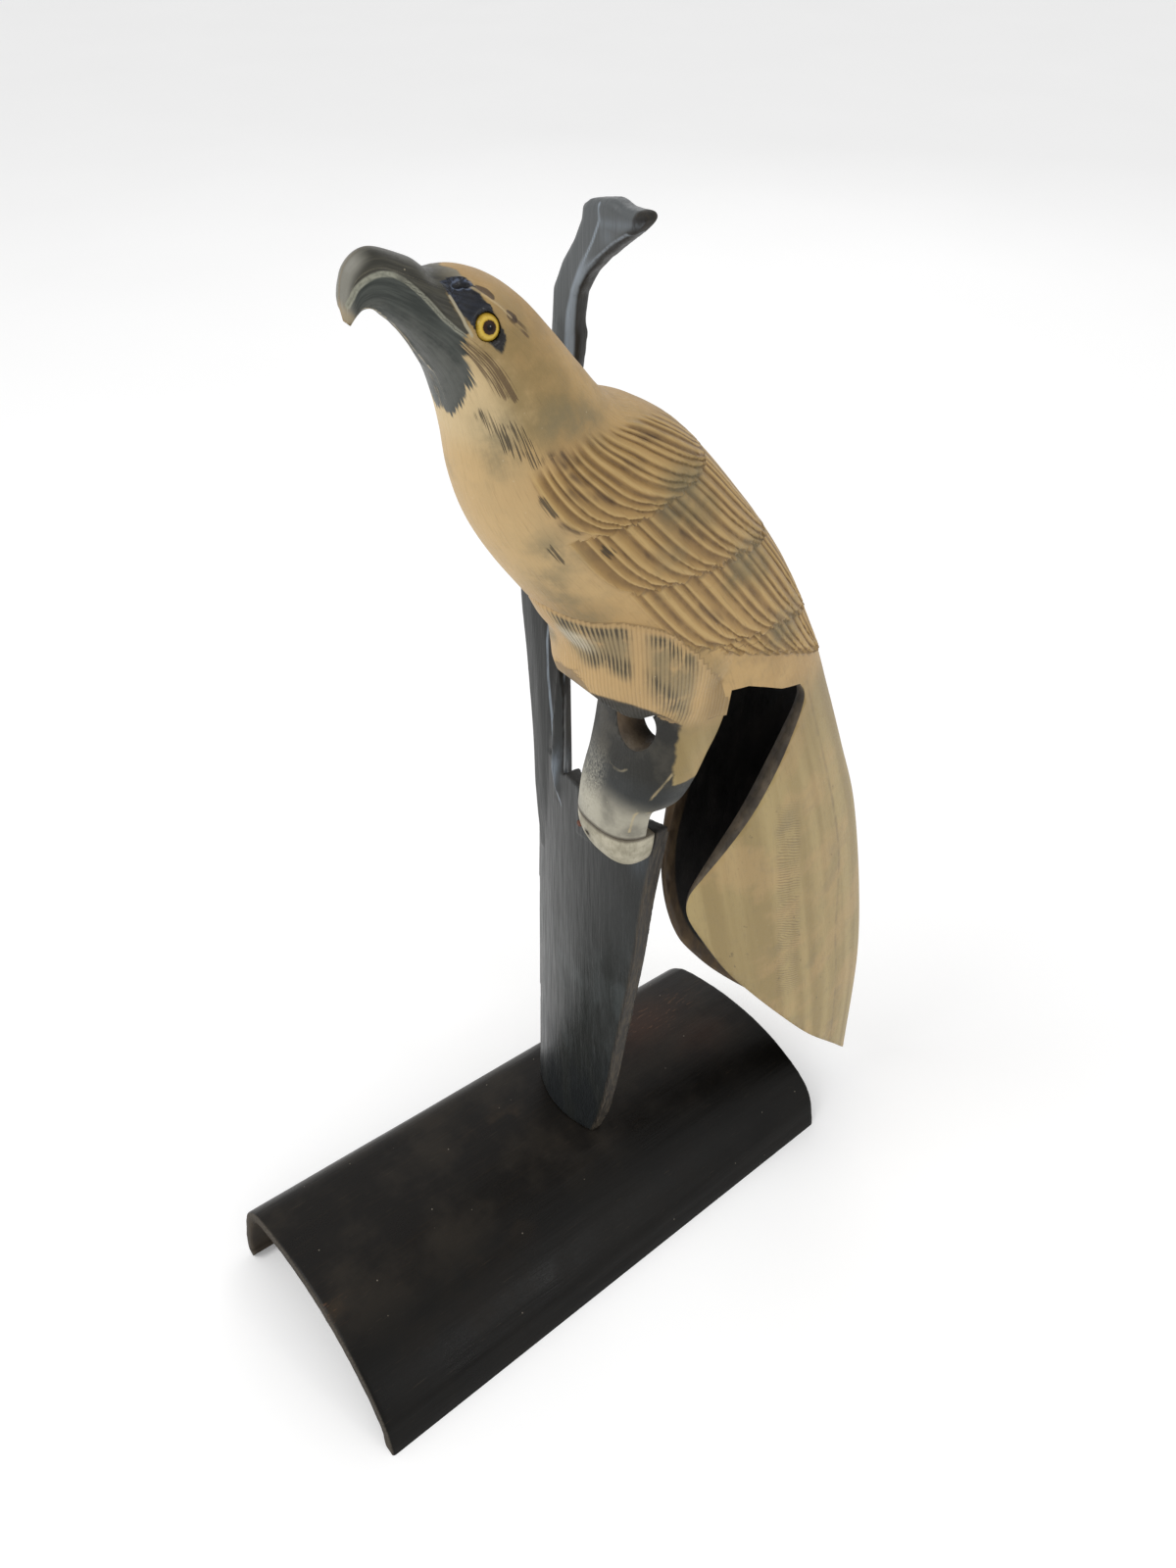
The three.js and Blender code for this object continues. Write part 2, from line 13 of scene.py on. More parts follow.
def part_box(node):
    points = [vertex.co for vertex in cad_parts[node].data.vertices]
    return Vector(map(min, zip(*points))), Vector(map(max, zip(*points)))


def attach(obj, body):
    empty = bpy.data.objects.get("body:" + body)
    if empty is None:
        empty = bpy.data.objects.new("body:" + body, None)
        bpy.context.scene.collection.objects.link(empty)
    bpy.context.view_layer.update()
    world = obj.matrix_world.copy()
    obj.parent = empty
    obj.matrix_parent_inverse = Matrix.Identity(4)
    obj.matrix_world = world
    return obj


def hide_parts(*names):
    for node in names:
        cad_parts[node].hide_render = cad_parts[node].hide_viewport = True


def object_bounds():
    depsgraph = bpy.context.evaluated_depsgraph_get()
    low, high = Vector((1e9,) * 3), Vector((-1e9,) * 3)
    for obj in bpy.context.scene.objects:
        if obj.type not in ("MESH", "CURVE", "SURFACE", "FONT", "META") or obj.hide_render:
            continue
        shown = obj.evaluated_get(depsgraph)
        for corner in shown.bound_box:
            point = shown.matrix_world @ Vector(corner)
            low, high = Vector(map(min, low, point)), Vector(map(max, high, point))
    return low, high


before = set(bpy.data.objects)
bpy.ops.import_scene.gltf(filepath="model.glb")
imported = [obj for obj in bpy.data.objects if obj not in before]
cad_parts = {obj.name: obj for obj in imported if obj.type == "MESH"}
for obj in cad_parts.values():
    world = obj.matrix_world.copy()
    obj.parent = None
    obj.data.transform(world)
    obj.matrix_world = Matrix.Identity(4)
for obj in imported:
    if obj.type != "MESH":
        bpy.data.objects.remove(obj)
cad_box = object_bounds()

# Small clearance between touching pieces, and how far the solids that cut others reach past them
GAP = 0.3
CUT_REACH = 60.0

# Bird: ribs from the tail to the beak's tip, as X and Z on the back and on the front, and the half width
BIRD_SIDE = 35.0
RIBS = [
    ((-166, -12), (-84, 16), 17), ((-163, 40), (-64, 68), 19.5), ((-159, 104), (-50, 122), 21),
    ((-149, 158), (-36, 174), 22), ((-133, 217), (-22, 230), 23.5), ((-117, 256), (-12, 274), 25),
    ((-102, 291), (0, 312), 26), ((-88, 321.2), (6, 336), 27.5), ((-66, 360), (12.6, 350.4), 28.5),
    ((-39.5, 393.7), (25, 368.7), 28.5), ((-22, 412.4), (36.4, 385.6), 27), ((-8.3, 421.8),
    (43.5, 399), 24.5),
    ((2.8, 426.8), (47.5, 412), 21), ((12, 437), (49, 424), 18.5), ((19.8, 446.5), (50.6, 433), 17),
    ((28.7, 456.4), (53, 441.5), 15.5), ((37.8, 463), (56.5, 448), 13), ((49, 466.5), (60, 453.5), 9.5),
    ((57, 469.8), (63, 457), 7), ((66, 473.2), (66.6, 460), 5.5), ((72, 470.7), (69.2, 460.5), 4),
    ((74.3, 464.8), (71, 459.5), 2.8), ((74, 459), (72.6, 457.6), 1),
]
LAST_RIB = len(RIBS) - 1
# The hollow's ribs, down from the tail, in the same way
HOLLOW_RIBS = [
    ((-161.5, -22), (-70, 6), 12), ((-158, 40), (-59, 66), 14), ((-153, 104), (-45, 121), 15.2),
    ((-143, 158), (-31, 173), 16.2), ((-127, 216), (-17, 228), 17.6), ((-111.5, 255), (-20, 270), 19.2),
    ((-96.5, 289), (-31, 302), 20.2), ((-82, 318), (-33, 329), 21.6), ((-60, 353), (-22, 346), 21.5),
    ((-38, 381), (-6, 367), 17), ((-20, 396), (4, 384), 8),
]
# Edges of the opening under the tail and the thigh, as X and Z
TAIL_EDGE_LEFT = [
    (-66, 314), (-70, 306), (-64, 292), (-57, 277), (-50, 262), (-42, 247), (-36, 235), (-32.5, 224),
    (-34, 211), (-42, 193), (-54, 170), (-67, 150), (-86, 123), (-109, 92), (-136, 60), (-166, 22),
    (-200, -14),
]
TAIL_EDGE_RIGHT = [
    (-66, 314), (-70, 306), (-67, 290), (-62, 272), (-57, 256), (-51, 240), (-46.5, 224), (-45, 210),
    (-45.5, 197), (-48, 184), (-53, 169), (-61, 153), (-79, 126), (-106, 92), (-136, 59), (-166, 22),
    (-200, -14),
]
BELLY_EDGE = [(-31, 328), (-38, 327), (-46, 323), (-55, 318)]
THIGH_EDGE = [(90, 342), (14, 342), (11, 335), (5, 328.5), (-4, 322.5), (-31, 317.5)]
UNDER_TAIL = [(-200, -60), (90, -60)]
# The round mass of both thighs
ROLL_CENTRE = (-22, BIRD_SIDE, 346)
ROLL_RADII = (37, 28.6, 34)
# The roll's middle in the frame of the solids, where the finishes see it
ROLL_X = -8.7
ROLL_Y = 34.6

# Legs and foot: Z, front, rear, middle and half width of each level; the rear edge as X and Z
LEG_LEVELS = [
    (332, 0, -44, 35, 25), (318, -10, -44, 34.6, 24), (302, -9.5, -40, 33.2, 22.8),
    (288, -7, -36, 32, 21.5),
    (280, -5.2, -34, 30.5, 20.5), (274, -4.2, -32, 28, 18), (262, -3, -32, 26.5, 17),
]
LEG_REAR = [
    (-60, 255), (-13.5, 255), (-13.5, 277), (-20.5, 281), (-25, 290), (-28, 300), (-31, 308), (-32.5, 318),
    (-31.5, 329), (-60, 334),
]
LEG_ROUNDING = 2.6
# Window between the legs: its middle Y, lowest and highest Z and half width
LEG_WINDOW = (38.6, 300.5, 325, 9.1)
SHIN_HOLLOW = [(331, -26.5, -60, 34, 17), (302, -20.5, -60, 34, 17), (288, -24.5, -60, 34, 10.2)]
FOOT_BOTTOM = 262.0
TOE_BACK = -17.5
# Toe piece: Z, front, middle and half width of each level
TOE_LEVELS = [
    (262, -3, 26.5, 17), (256, -3.2, 26.5, 16.4), (250, -5, 27, 14.5), (245.5, -8, 27.5, 11),
    (241.5, -12, 28, 6),
]
# Nail hole: X, Y, Z, radius and depth. Pin: Y, Z, radius, length and how proud it stands
NAIL_HOLE = (-6, 22.8, 255.1, 1.1, 6)
PIN = (7.4, 244, 1.3, 4, 0.8)
EYE = {"x": 44.7, "z": 454.3, "aside": 11.2, "radius": 3.6}
# How much smaller the glass is made than its solid
EYE_PLAY = 0.02

# Slab of the branch: Z, left edge, right edge and how far its face is dished at each level
SLAB_FRONT = -12.0
SLAB_THICKNESS = 6.0
SLAB_LEVELS = [
    (26, -36, 3, 6), (63, -35, 14, 7), (127, -33.5, 24.2, 7.5), (177, -32.5, 31.4, 8),
    (218, -31.5, 35.8, 8.5),
    (262, -31.5, 42.2, 9),
]
# Notch in the slab's top, and how much lower the stub ends
NOTCH_Y = -8.0
NOTCH_DEPTH = 7.5
NOTCH_HALF_WIDTH = 3.5
STUB_SLOPE = 5.0

# Feather tiers: where each ends at the middle of the side, and how many ribs lower it lies at the back
TIER_ENDS = [7.5, 7.76, 8.87, 10.15]
TIER_LEANS = [0.8, 0.36, 0.55, 0.62]
WING_FRONTS = [50.0, 55.5, 58.5, 54.6]
RIB_LENGTH = 28.0
WING_RADIUS = 28.6
RIGHT_WING_SHIFT = 1.3
FEATHER_WIDTH = 3.2
FEATHER_SHIFT = 0.37
FEATHER_RELIEF = 1.05
TIER_RELIEF = 1.35
# Mean radii of the horn and of the thigh, which turn angles into millimetres for the finishes
HORN_RADIUS = 25
COMB_RADIUS = 33
# How far a feather curls forwards, and over what length
FEATHER_CURL = (4.5, 6.0)
TOP_FEATHER_CURL = (6.5, 8.0)
# Where the top tier starts: degrees round the horn and rib positions
WING_TOP = [(180, 12.4), (259, 12.4), (284, 12.48), (300, 12.2), (315, 11.78), (340, 10.83), (360, 10.4)]

# Crease above the thigh, as rib positions and degrees, and how the skin swells below it
THIGH_CREASE = [
    (9.05, 180), (9.0, 190), (8.85, 200), (8.72, 212), (8.65, 226), (8.47, 235.5), (8.25, 244), (7.8, 248),
    (7.38, 250.5), (7.1, 253),
]
THIGH_CORNERS = [(5.0, 256), (5.0, 180)]
THIGH_SWELL = 1.6
CREASE_DEPTH = 0.75

# Where the carved relief of the head starts
HEAD_START = 14.5
# The bird's rings: from one rib position to another, how many, and how many points each has
RING_PLAN = [
    (0.0, 6.3, 64, 80), (6.3, 6.62, 6, 160), (6.62, 13.0, 194, 320), (13.0, 13.9, 18, 160),
    (13.9, 17.6, 66, 160),
    (17.6, 22.0, 78, 80),
]

# Carved and coloured features, as rib positions and degrees round the horn (270 is the left side)
MOUTH_LINE = [
    (21.15, 301.5), (20.68, 290), (20.08, 286), (19.55, 286.5), (19.0, 289), (18.6, 292), (18.3, 289),
    (17.88, 280), (17.28, 268.5), (16.8, 259), (16.38, 254), (16.07, 252.5),
]
BROAD_MOUTH_END = 18.4
UPPER_BEAK_CORNERS = [(14, 252.5), (14, 380), (24, 380), (24, 301.5)]
JAW_LINE = [(20.1, 224), (19.2, 204), (18.3, 191), (17.2, 184), (16.2, 184), (15.4, 189)]
JAW_CORNERS = [(13, 189), (13, 300), (23, 300), (23, 224)]
CULMEN_BAND = [(21.7, 314), (21.0, 327.5), (20.55, 334), (20.0, 335), (19.3, 337)]
BEAK_EDGE = [
    (16.95, 362), (16.68, 341.5), (16.65, 328), (17.0, 312), (17.0, 295.5), (16.82, 284), (16.65, 276),
    (16.32, 268), (16.15, 261), (16.05, 253.5), (15.95, 247), (15.58, 236), (15.15, 229.5), (14.75, 225),
    (14.55, 215.5), (14.28, 207), (14.0, 196.5), (13.95, 187), (14.0, 178), (23, 178), (23, 362),
]
EYE_PATCH = [
    (17.2, 315.5), (16.95, 326), (16.65, 328), (16.5, 318.5), (16.35, 308.5), (16.2, 300.5), (15.95, 293.5),
    (15.78, 288.5), (15.55, 283), (15.3, 277), (15.18, 270), (15.12, 264.5), (15.5, 263), (16.1, 266.5),
    (16.35, 271.5), (16.65, 276), (16.82, 284), (17.0, 295.5), (17.1, 306.5),
]
EYE_CREASE = [(16.93, 292), (16.65, 278), (16.28, 264), (16.0, 258)]
BROW_LINE = [(16.5, 311), (16.25, 306), (15.98, 301.5), (15.68, 299), (15.43, 297.5)]
NOSTRIL = [(16.8, 312.5), (16.68, 316.5), (16.57, 315)]
BROWN_STROKES = [
    [(15.93, 250.5), (15.5, 249.5), (14.95, 250.5), (14.55, 251.5), (14.05, 252)],
    [(15.85, 247), (15.3, 245), (14.7, 247), (14.2, 251)],
    [(15.78, 243), (15.0, 239.5), (14.3, 244.5), (14.05, 250.5)],
    [(15.38, 298), (15.15, 299.5), (14.9, 295)],
]
BROW_SPOTS = [[(16.32, 311.5), (16.15, 311.5), (16.03, 308.5)], [(15.5, 299), (15.35, 299.5)]]
OLIVE_MARKS = [
    [(9.75, 284), (9.6, 290), (9.3, 300)], [(10.1, 292), (9.9, 305)], [(8.5, 285), (8.3, 305)],
    [(7.75, 246), (7.25, 249)],
]
BLACK_STROKES = [
    [(13.9, 221.5), (13.65, 224.5), (13.18, 230), (12.93, 230.5)],
    [(13.4, 238.5), (13.23, 243), (12.78, 244.5)],
    [(13.1, 234), (12.9, 236), (12.7, 238)],
    [(12.68, 244), (12.4, 246.5)],
    [(11.58, 237.5), (11.25, 238.5)],
    [(10.48, 224.5), (10.18, 225.5)],
    [(10.05, 246), (9.95, 248)],
]
SMUDGES = [
    [(12.98, 270), (12.83, 282), (12.48, 295.5)],
    [(13.4, 226), (12.7, 222)],
    [(10.5, 224), (10.15, 226)],
    [(9.9, 211), (9.0, 209)],
    [(9.98, 285.5), (9.88, 294), (9.75, 305.5)],
    [(8.62, 295.5), (8.5, 305)],
    [(7.55, 291), (7.5, 303)],
    [(9.02, 206), (8.9, 212)],
]
BROWN_MARKS = [
    (12.25, 258.5), (12.18, 265.5), (11.68, 263), (11.0, 264.5), (11.03, 311.5), (10.83, 315.5),
    (11.03, 290),
    (9.83, 283.5), (9.35, 282.5), (9.3, 292.5), (10.78, 242), (11.38, 255.5), (8.33, 264), (9.43, 263),
]
# Edge of the pale skin over the legs, as X and Z on the leg's outer side
SKIN_RIM = [(-40, 316), (-16, 317), (-13, 320), (-3, 328.7), (4.7, 333.5), (9.2, 335.1), (20, 337)]
SKIN_LEG_FRONT = -16.0
SKIN_LEG_END = 291.0
INNER_SHIN = 51.0
# Marks on the legs, as X, Y and Z
TAN_STREAKS = [
    [(-15.5, 53.1, 296), (-11, 49.1, 286), (-8.2, 42.9, 274.6), (-7.5, 41.3, 266)],
    [(-18.5, 53.5, 294), (-15, 50, 285), (-11, 46, 275)],
    [(-21.5, 53, 293), (-18.5, 50, 283), (-15, 47, 276)],
]
PALE_CRESCENT = [(-7.5, 29.5, 291), (-7.5, 33, 289.4), (-7.8, 36.5, 290.4), (-8, 38.6, 292.6)]


# Limb: centre as X, Y and Z, half width and half depth; its corners as shares of them, along Y and X
LIMB_LEVELS = [
    (-20, -21, 206, 8.5, 3.5), (-19.5, -20.8, 236, 9.8, 4.5), (-19.5, -20.6, 262, 10, 5),
    (-20, -22.6, 300, 11.5, 5), (-21, -26, 328, 11.8, 5), (-22.5, -26.5, 360, 10, 5),
    (-24, -20.3, 392, 8.2, 4.8), (-25, -14.6, 418, 6.4, 4.4), (-25, -13.9, 424, 5.7, 4.2),
    (-25, -12.4, 434, 3.4, 2.8),
]
LIMB_CORNERS = [
    (0.0, 1.0), (0.5, 0.85), (1.0, 0.05), (0.9, -0.75), (0.3, -1.0), (-0.4, -1.0), (-0.95, -0.6),
    (-1.0, 0.1),
    (-0.6, 0.85),
]
# Spear-shaped end of the limb on the slab: Z, then its left, front, right and rear corners as X and Y
SPEAR_LEVELS = [
    (305, (-17.3, -12.9), (-17.1, -12.5), (-17.5, -12.1), (-17.8, -12.5)),
    (290, (-17.0, -14.2), (-15.6, -12.6), (-18.5, -10.0), (-21.0, -12.5)),
    (272, (-15.8, -14.6), (-13.8, -12.0), (-16.6, -7.6), (-20.0, -11.5)),
    (259, (-13.9, -13.6), (-11.6, -10.2), (-13.3, -4.6), (-18.0, -9.5)),
    (251, (-13.5, -10.8), (-11.5, -8.0), (-12.9, -4.4), (-16.0, -8.0)),
    (243, (-13.2, -6.6), (-12.8, -6.1), (-13.2, -5.7), (-13.6, -6.2)),
]
# Worn ridges of the limb and its hook, as X, Y and Z, along which a pale line is painted: partly wear,
# partly painted highlight
RIDGES = [
    [(-17.9, -17.0, 328.5), (-16.6, -17.3, 311.6), (-16.0, -16.6, 298), (-16.1, -14.7, 277.2),
    (-14, -12, 258)],
    [(-19.9, -11.2, 300.3), (-18.5, -11.9, 287.3), (-16.4, -12.3, 272.1), (-12.4, -10.4, 259.5)],
    [(-12.4, -10.4, 259.5), (-12.2, -8, 250), (-13, -5.6, 243.4)],
    [
        (-21.8, 4.5, 461.5), (-21.3, 5.1, 457.2), (-21.3, 2.1, 451), (-21.3, -2.8, 443.4),
        (-21.5, -7.2, 435.1),
        (-21.3, -9.3, 428.5), (-22.1, -10.4, 421.5), (-22.5, -12, 410), (-22.5, -15, 396),
    ],
    [
        (-25.8, 19, 456.5), (-21.8, 16.3, 455.7), (-21.4, 10.4, 452.1), (-21.6, 3.6, 446.9),
        (-21.4, -1.1, 442.9),
        (-21.6, -5.6, 437.2), (-22.2, -7.9, 430.9), (-22.5, -9, 423.8), (-23, -10.5, 412),
    ],
]
CROSS_LINE = [(-16, -28.2, 295.6), (-16.3, -16.2, 302)]
# The hook's outline as Y and Z
HOOK_OUTLINE = [
    (-19.2, 422), (-18, 434), (-13.5, 442.5), (-7.7, 450), (-4.4, 456), (-4, 459.5), (-1, 461.5),
    (9, 463.5),
    (14.5, 462.2), (22, 462.6), (23.5, 461), (22, 459), (18, 455.6), (12, 451.4), (5, 446.4), (-1.5, 440.6),
    (-6.6, 433.5), (-9, 422),
]
HOOK_X = -25.0
HOOK_THICKNESS = 7.4
# Chamfer of the hook's edges: how deep and how far in
HOOK_CHAMFER = [(0, 2.2), (0.5, 1.1), (1.6, 0)]
BRANCH_VOXEL = 0.75

# Plinth
PLATE_FRONT_END = 134.5
PLATE_REAR_END = -125.5
PLATE_THICKNESS = 6.0
PLATE_ARCH = [
    (58, 0), (55.5, 6), (50.5, 13.5), (38, 24.5), (20, 34), (0, 40), (-20, 42.4), (-40, 41.6), (-51, 38.6),
    (-58, 30.5), (-60.2, 18), (-60.6, 8), (-59, 2.5), (-55.5, 0),
]
PLATE_FRONT_SLANT = 7.0
PLATE_REAR_SLANT = 20.0
PLATE_END_LEAN = -0.12
PLATE_END_DISH = 0.8
PLATE_REAR_BULGE = 1.5
PLATE_WIDEST = 70.0
PLATE_CORNER = 11.0
PLATE_TAPER = 0.06
PLATE_REAR_DROP = 0.08
PLATE_DROP_START = -30.0
# How far the first rings at each end are drawn in, so that the ends are rounded
PLATE_ROUNDING = [0.72, 0.86, 0.96]
# Coloured places of the plate: strength, X, Y, width and length
BROWN_BLOTS = [
    (1, 66, 38, 14, 34), (1, 95, 36, 8, 16), (1, 40, 30, 10, 18), (0.8, 125, 10, 8, 8),
    (0.7, -95, 20, 10, 24),
    (0.6, 20, -25, 8, 30),
]
NICKED_PLACES = [(1, 128, 8, 5, 7), (1, -92, -28, 9, 20)]
REDDISH_BLOTS = [(1, -75, -28, 14, 26), (0.6, -100, -5, 10, 16)]

# Lights: name, place in metres, size and power, all turned to LIT_PLACE
LIGHTS = [
    ("key", (1.05, -0.2, 1.5), 0.8, 9), ("fill", (-0.4, 1.3, 1.3), 1.2, 1.6),
    ("spark", (-0.45, 1.38, 0.9), 0.22, 1.6), ("rear", (-1.2, -1.0, 1.1), 1.0, 2.5),
]
LIT_PLACE = (0, 0, 0.22)
WHITE_AROUND = 0.72
FLOOR_REACH = 30000

# Camera
CAMERA_PLACE = (199.6, 283.1, 555.0)
CAMERA_TURN = 38.0
CAMERA_TILT = 40.0
CAMERA_LENS = 28.26
SENSOR_WIDTH = 36

EYE_CENTRE = np.array([EYE["x"], BIRD_SIDE + EYE["aside"], EYE["z"]])
# Where the solids' frame lies from the frame of the numbers above
OFFSET = np.array([(low + high) / 2 for low, high in zip(*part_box("eye_left"))]) * 1000 - EYE_CENTRE


def to_world(points):
    """Places in metres in the frame of the solids."""
    return (np.asarray(points, float) + OFFSET) / 1000


def new_mesh(name, points, faces):
    """A mesh object from points in millimetres and an array of faces that all have the same size."""
    mesh = bpy.data.meshes.new(name)
    faces = np.asarray(faces, dtype=np.int32)
    mesh.vertices.add(len(points))
    mesh.vertices.foreach_set("co", to_world(points).astype(np.float32).ravel())
    mesh.loops.add(faces.size)
    mesh.loops.foreach_set("vertex_index", faces.ravel())
    mesh.polygons.add(len(faces))
    mesh.polygons.foreach_set("loop_start", np.arange(len(faces), dtype=np.int32) * faces.shape[1])
    mesh.update(calc_edges=True)
    mesh.validate()
    obj = bpy.data.objects.new(name, mesh)
    bpy.context.scene.collection.objects.link(obj)
    return obj


def read(items, name, width, kind=np.float32):
    """A row of values of the named property for each of a mesh's items."""
    values = np.empty(len(items) * width, dtype=kind)
    items.foreach_get(name, values)
    return values.reshape(-1, width)


def points_of(obj):
    """The mesh's points in millimetres, in the frame of the constants above."""
    return read(obj.data.vertices, "co", 3).astype(float) * 1000 - OFFSET


def set_points(obj, points):
    obj.data.vertices.foreach_set("co", to_world(points).astype(np.float32).ravel())
    obj.data.update()


def normals_of(obj):
    return read(obj.data.vertex_normals, "vector", 3).astype(float)


def store(obj, fields):
    """Keeps named values on the mesh's points for its finish to read."""
    for name, values in fields.items():
        attribute = obj.data.attributes.new(name, "FLOAT", "POINT")
        attribute.data.foreach_set("value", np.asarray(values, dtype=np.float32))


def turns(count):
    """Evenly spaced angles of one full turn."""
    return 2 * math.pi * np.arange(count) / count


def bell(*offsets):
    """1 where all the offsets are 0, falling smoothly to 0 around it."""
    return np.exp(-sum(offset**2 for offset in offsets))


def smoothstep(value, low, high):
    """Goes smoothly from 0 to 1 while the value goes from low to high."""
    t = np.clip((value - low) / (high - low), 0, 1)
    return t * t * (3 - 2 * t)


def spline(values, t):
    """Catmull-Rom curve through the values, at positions counted in values."""
    values = np.asarray(values, float)
    last = len(values) - 1
    t = np.clip(t, 0, last - 1e-9)
    i = np.floor(t).astype(int)
    w = (t - i)[..., None] if values.ndim > 1 else t - i
    before, here = values[np.maximum(i - 1, 0)], values[i]
    after, beyond = values[np.minimum(i + 1, last)], values[np.minimum(i + 2, last)]
    slope_here = (after - before) * 0.5
    slope_after = (beyond - here) * 0.5
    return (
        (2 * here - 2 * after + slope_here + slope_after) * w**3
        + (-3 * here + 3 * after - 2 * slope_here - slope_after) * w**2
        + slope_here * w
        + here
    )


def smooth_line(values, steps):
    """A number of places along the curve through all the values."""
    return spline(values, np.linspace(0, len(values) - 1, steps))


def horn_surface(ribs, u, angle):
    """Points of a horn through its ribs, at rib positions u and angles in radians (0 is the back)."""
    back, front, half = (spline([rib[k] for rib in ribs], u) for k in range(3))
    middle = (back + front) / 2
    reach = (back - front) / 2
    across = np.cos(angle)
    x = middle[..., 0] + reach[..., 0] * across
    z = middle[..., 1] + reach[..., 1] * across
    return np.stack([x, BIRD_SIDE + -np.sin(angle) * half, z], -1)


def horn_normals(ribs, u, angle):
    step = 1e-3
    along = horn_surface(ribs, u + step, angle) - horn_surface(ribs, u - step, angle)
    around = horn_surface(ribs, u, angle + step) - horn_surface(ribs, u, angle - step)
    normal = np.cross(around, along)
    return normal / (np.linalg.norm(normal, axis=-1, keepdims=True) + 1e-12)


def skin_faces(rings):
    """Triangles between rings, where a ring has as many points as its neighbour, twice as many, or half."""
    counts = [len(ring) for ring in rings]
    starts = np.concatenate([[0], np.cumsum(counts)])
    faces = []
    for level in range(len(counts) - 1):
        n, m = counts[level], counts[level + 1]
        low, high = starts[level], starts[level + 1]
        i = np.arange(min(n, m))
        j = (i + 1) % min(n, m)
        if n == m:
            corners = [(low + i, low + j, high + j), (low + i, high + j, high + i)]
        elif n > m:
            even, odd, after = low + 2 * i, low + 2 * i + 1, low + 2 * j
            corners = [(even, odd, high + i), (odd, after, high + j), (odd, high + j, high + i)]
        else:
            even, odd, after = high + 2 * i, high + 2 * i + 1, high + 2 * j
            corners = [(low + i, odd, even), (low + j, after, odd), (low + i, low + j, odd)]
        faces += [np.stack(triangle, 1) for triangle in corners]
    return faces, starts


def facing_out(obj):
    """Turns the faces of a closed mesh so that its volume is positive."""
    mesh = obj.data
    mesh.calc_loop_triangles()
    corners = read(mesh.vertices, "co", 3).astype(float)[read(mesh.loop_triangles, "vertices", 3, np.int32)]
    a, b, c = corners[:, 0], corners[:, 1], corners[:, 2]
    if np.einsum("ij,ij->i", a, np.cross(b, c)).sum() < 0:
        mesh.flip_normals()
    return obj


def loft(name, rings):
    """A closed skin of triangles through rings of points, with a fan over each end."""
    faces, starts = skin_faces(rings)
    points = np.concatenate(rings + [[rings[0].mean(0), rings[-1].mean(0)]])
    hub = len(points) - 2
    first, last = np.arange(len(rings[0])), starts[-2] + np.arange(len(rings[-1]))
    faces.append(np.stack([np.roll(first, -1), first, np.full(len(first), hub)], 1))
    faces.append(np.stack([last, np.roll(last, -1), np.full(len(last), hub + 1)], 1))
    return facing_out(new_mesh(name, points, np.concatenate(faces)))


def fill(outline):
    """Triangles that fill a flat outline, turned the way it runs, and twice its area, with its sign."""
    flat = [Vector((float(a), float(b), 0)) for a, b in outline]
    caps = np.array(tessellate_polygon([flat]), dtype=np.int32)
    after = np.roll(outline, -1, axis=0)
    doubled_area = np.sum(outline[:, 0] * after[:, 1] - after[:, 0] * outline[:, 1])
    a, b, c = outline[caps[:, 0]], outline[caps[:, 1]], outline[caps[:, 2]]
    turn = (b[:, 0] - a[:, 0]) * (c[:, 1] - a[:, 1]) - (b[:, 1] - a[:, 1]) * (c[:, 0] - a[:, 0])
    flip = np.sign(turn) != np.sign(doubled_area)
    caps[flip] = caps[flip][:, ::-1]
    return caps, doubled_area


def capped_loft(name, rings, caps):
    """A closed skin through rings, with the given triangles over the first and the last of them."""
    faces, starts = skin_faces(rings)
    faces = np.concatenate(faces + [caps[:, ::-1], caps + starts[-2]])
    return facing_out(new_mesh(name, np.concatenate(rings), faces))


def block(name, axis, outline, low, high):
    """A solid with a flat outline, reaching from low to high along an axis: 0 is X and 1 is Y."""
    outline = np.asarray(outline, float)
    ends = [np.insert(outline, axis, place, axis=1) for place in (low, high)]
    caps, _ = fill(outline)
    walls, starts = skin_faces(ends)
    faces = np.concatenate([caps[:, ::-1], caps + starts[1]] + walls)
    return facing_out(new_mesh(name, np.concatenate(ends), faces))


def apply_modifier(obj, kind, **settings):
    modifier = obj.modifiers.new("change", kind)
    for name, value in settings.items():
        setattr(modifier, name, value)
    bpy.context.view_layer.objects.active = obj
    bpy.ops.object.modifier_apply(modifier=modifier.name)


def combine(obj, other, operation, finish=None):
    """Applies a boolean with another closed mesh, which leaves its material on the faces it gives."""
    if finish:
        other.data.materials.append(finish)
    settings = {"object": other, "operation": operation, "solver": "MANIFOLD", "material_mode": "TRANSFER"}
    apply_modifier(obj, "BOOLEAN", **settings)
    mesh = other.data
    bpy.data.objects.remove(other)
    bpy.data.meshes.remove(mesh)


def relax(obj, weight, times):
    """Evens out the skin where the weight of its points is above 0."""
    a, b = read(obj.data.edges, "vertices", 2, np.int32).T
    used = (weight[a] > 0) | (weight[b] > 0)
    a, b = a[used], b[used]
    p = points_of(obj)
    n = len(p)
    count = np.maximum(np.bincount(a, minlength=n) + np.bincount(b, minlength=n), 1)
    for _ in range(times):
        total = [np.bincount(a, p[b, k], n) + np.bincount(b, p[a, k], n) for k in range(3)]
        p += weight[:, None] * (np.stack(total, 1) / count[:, None] - p)
    set_points(obj, p)


def folded(angle):
    """Angles of the right side mirrored onto the left, in radians from 180 to 360 degrees."""
    return np.where(np.sin(angle) > 0, 2 * math.pi - angle, angle)


def mirrored_to_left(points):
    """Points of the right side mirrored onto the bird's left."""
    result = points.copy()
    result[:, 1] = BIRD_SIDE + np.abs(points[:, 1] - BIRD_SIDE)
    return result


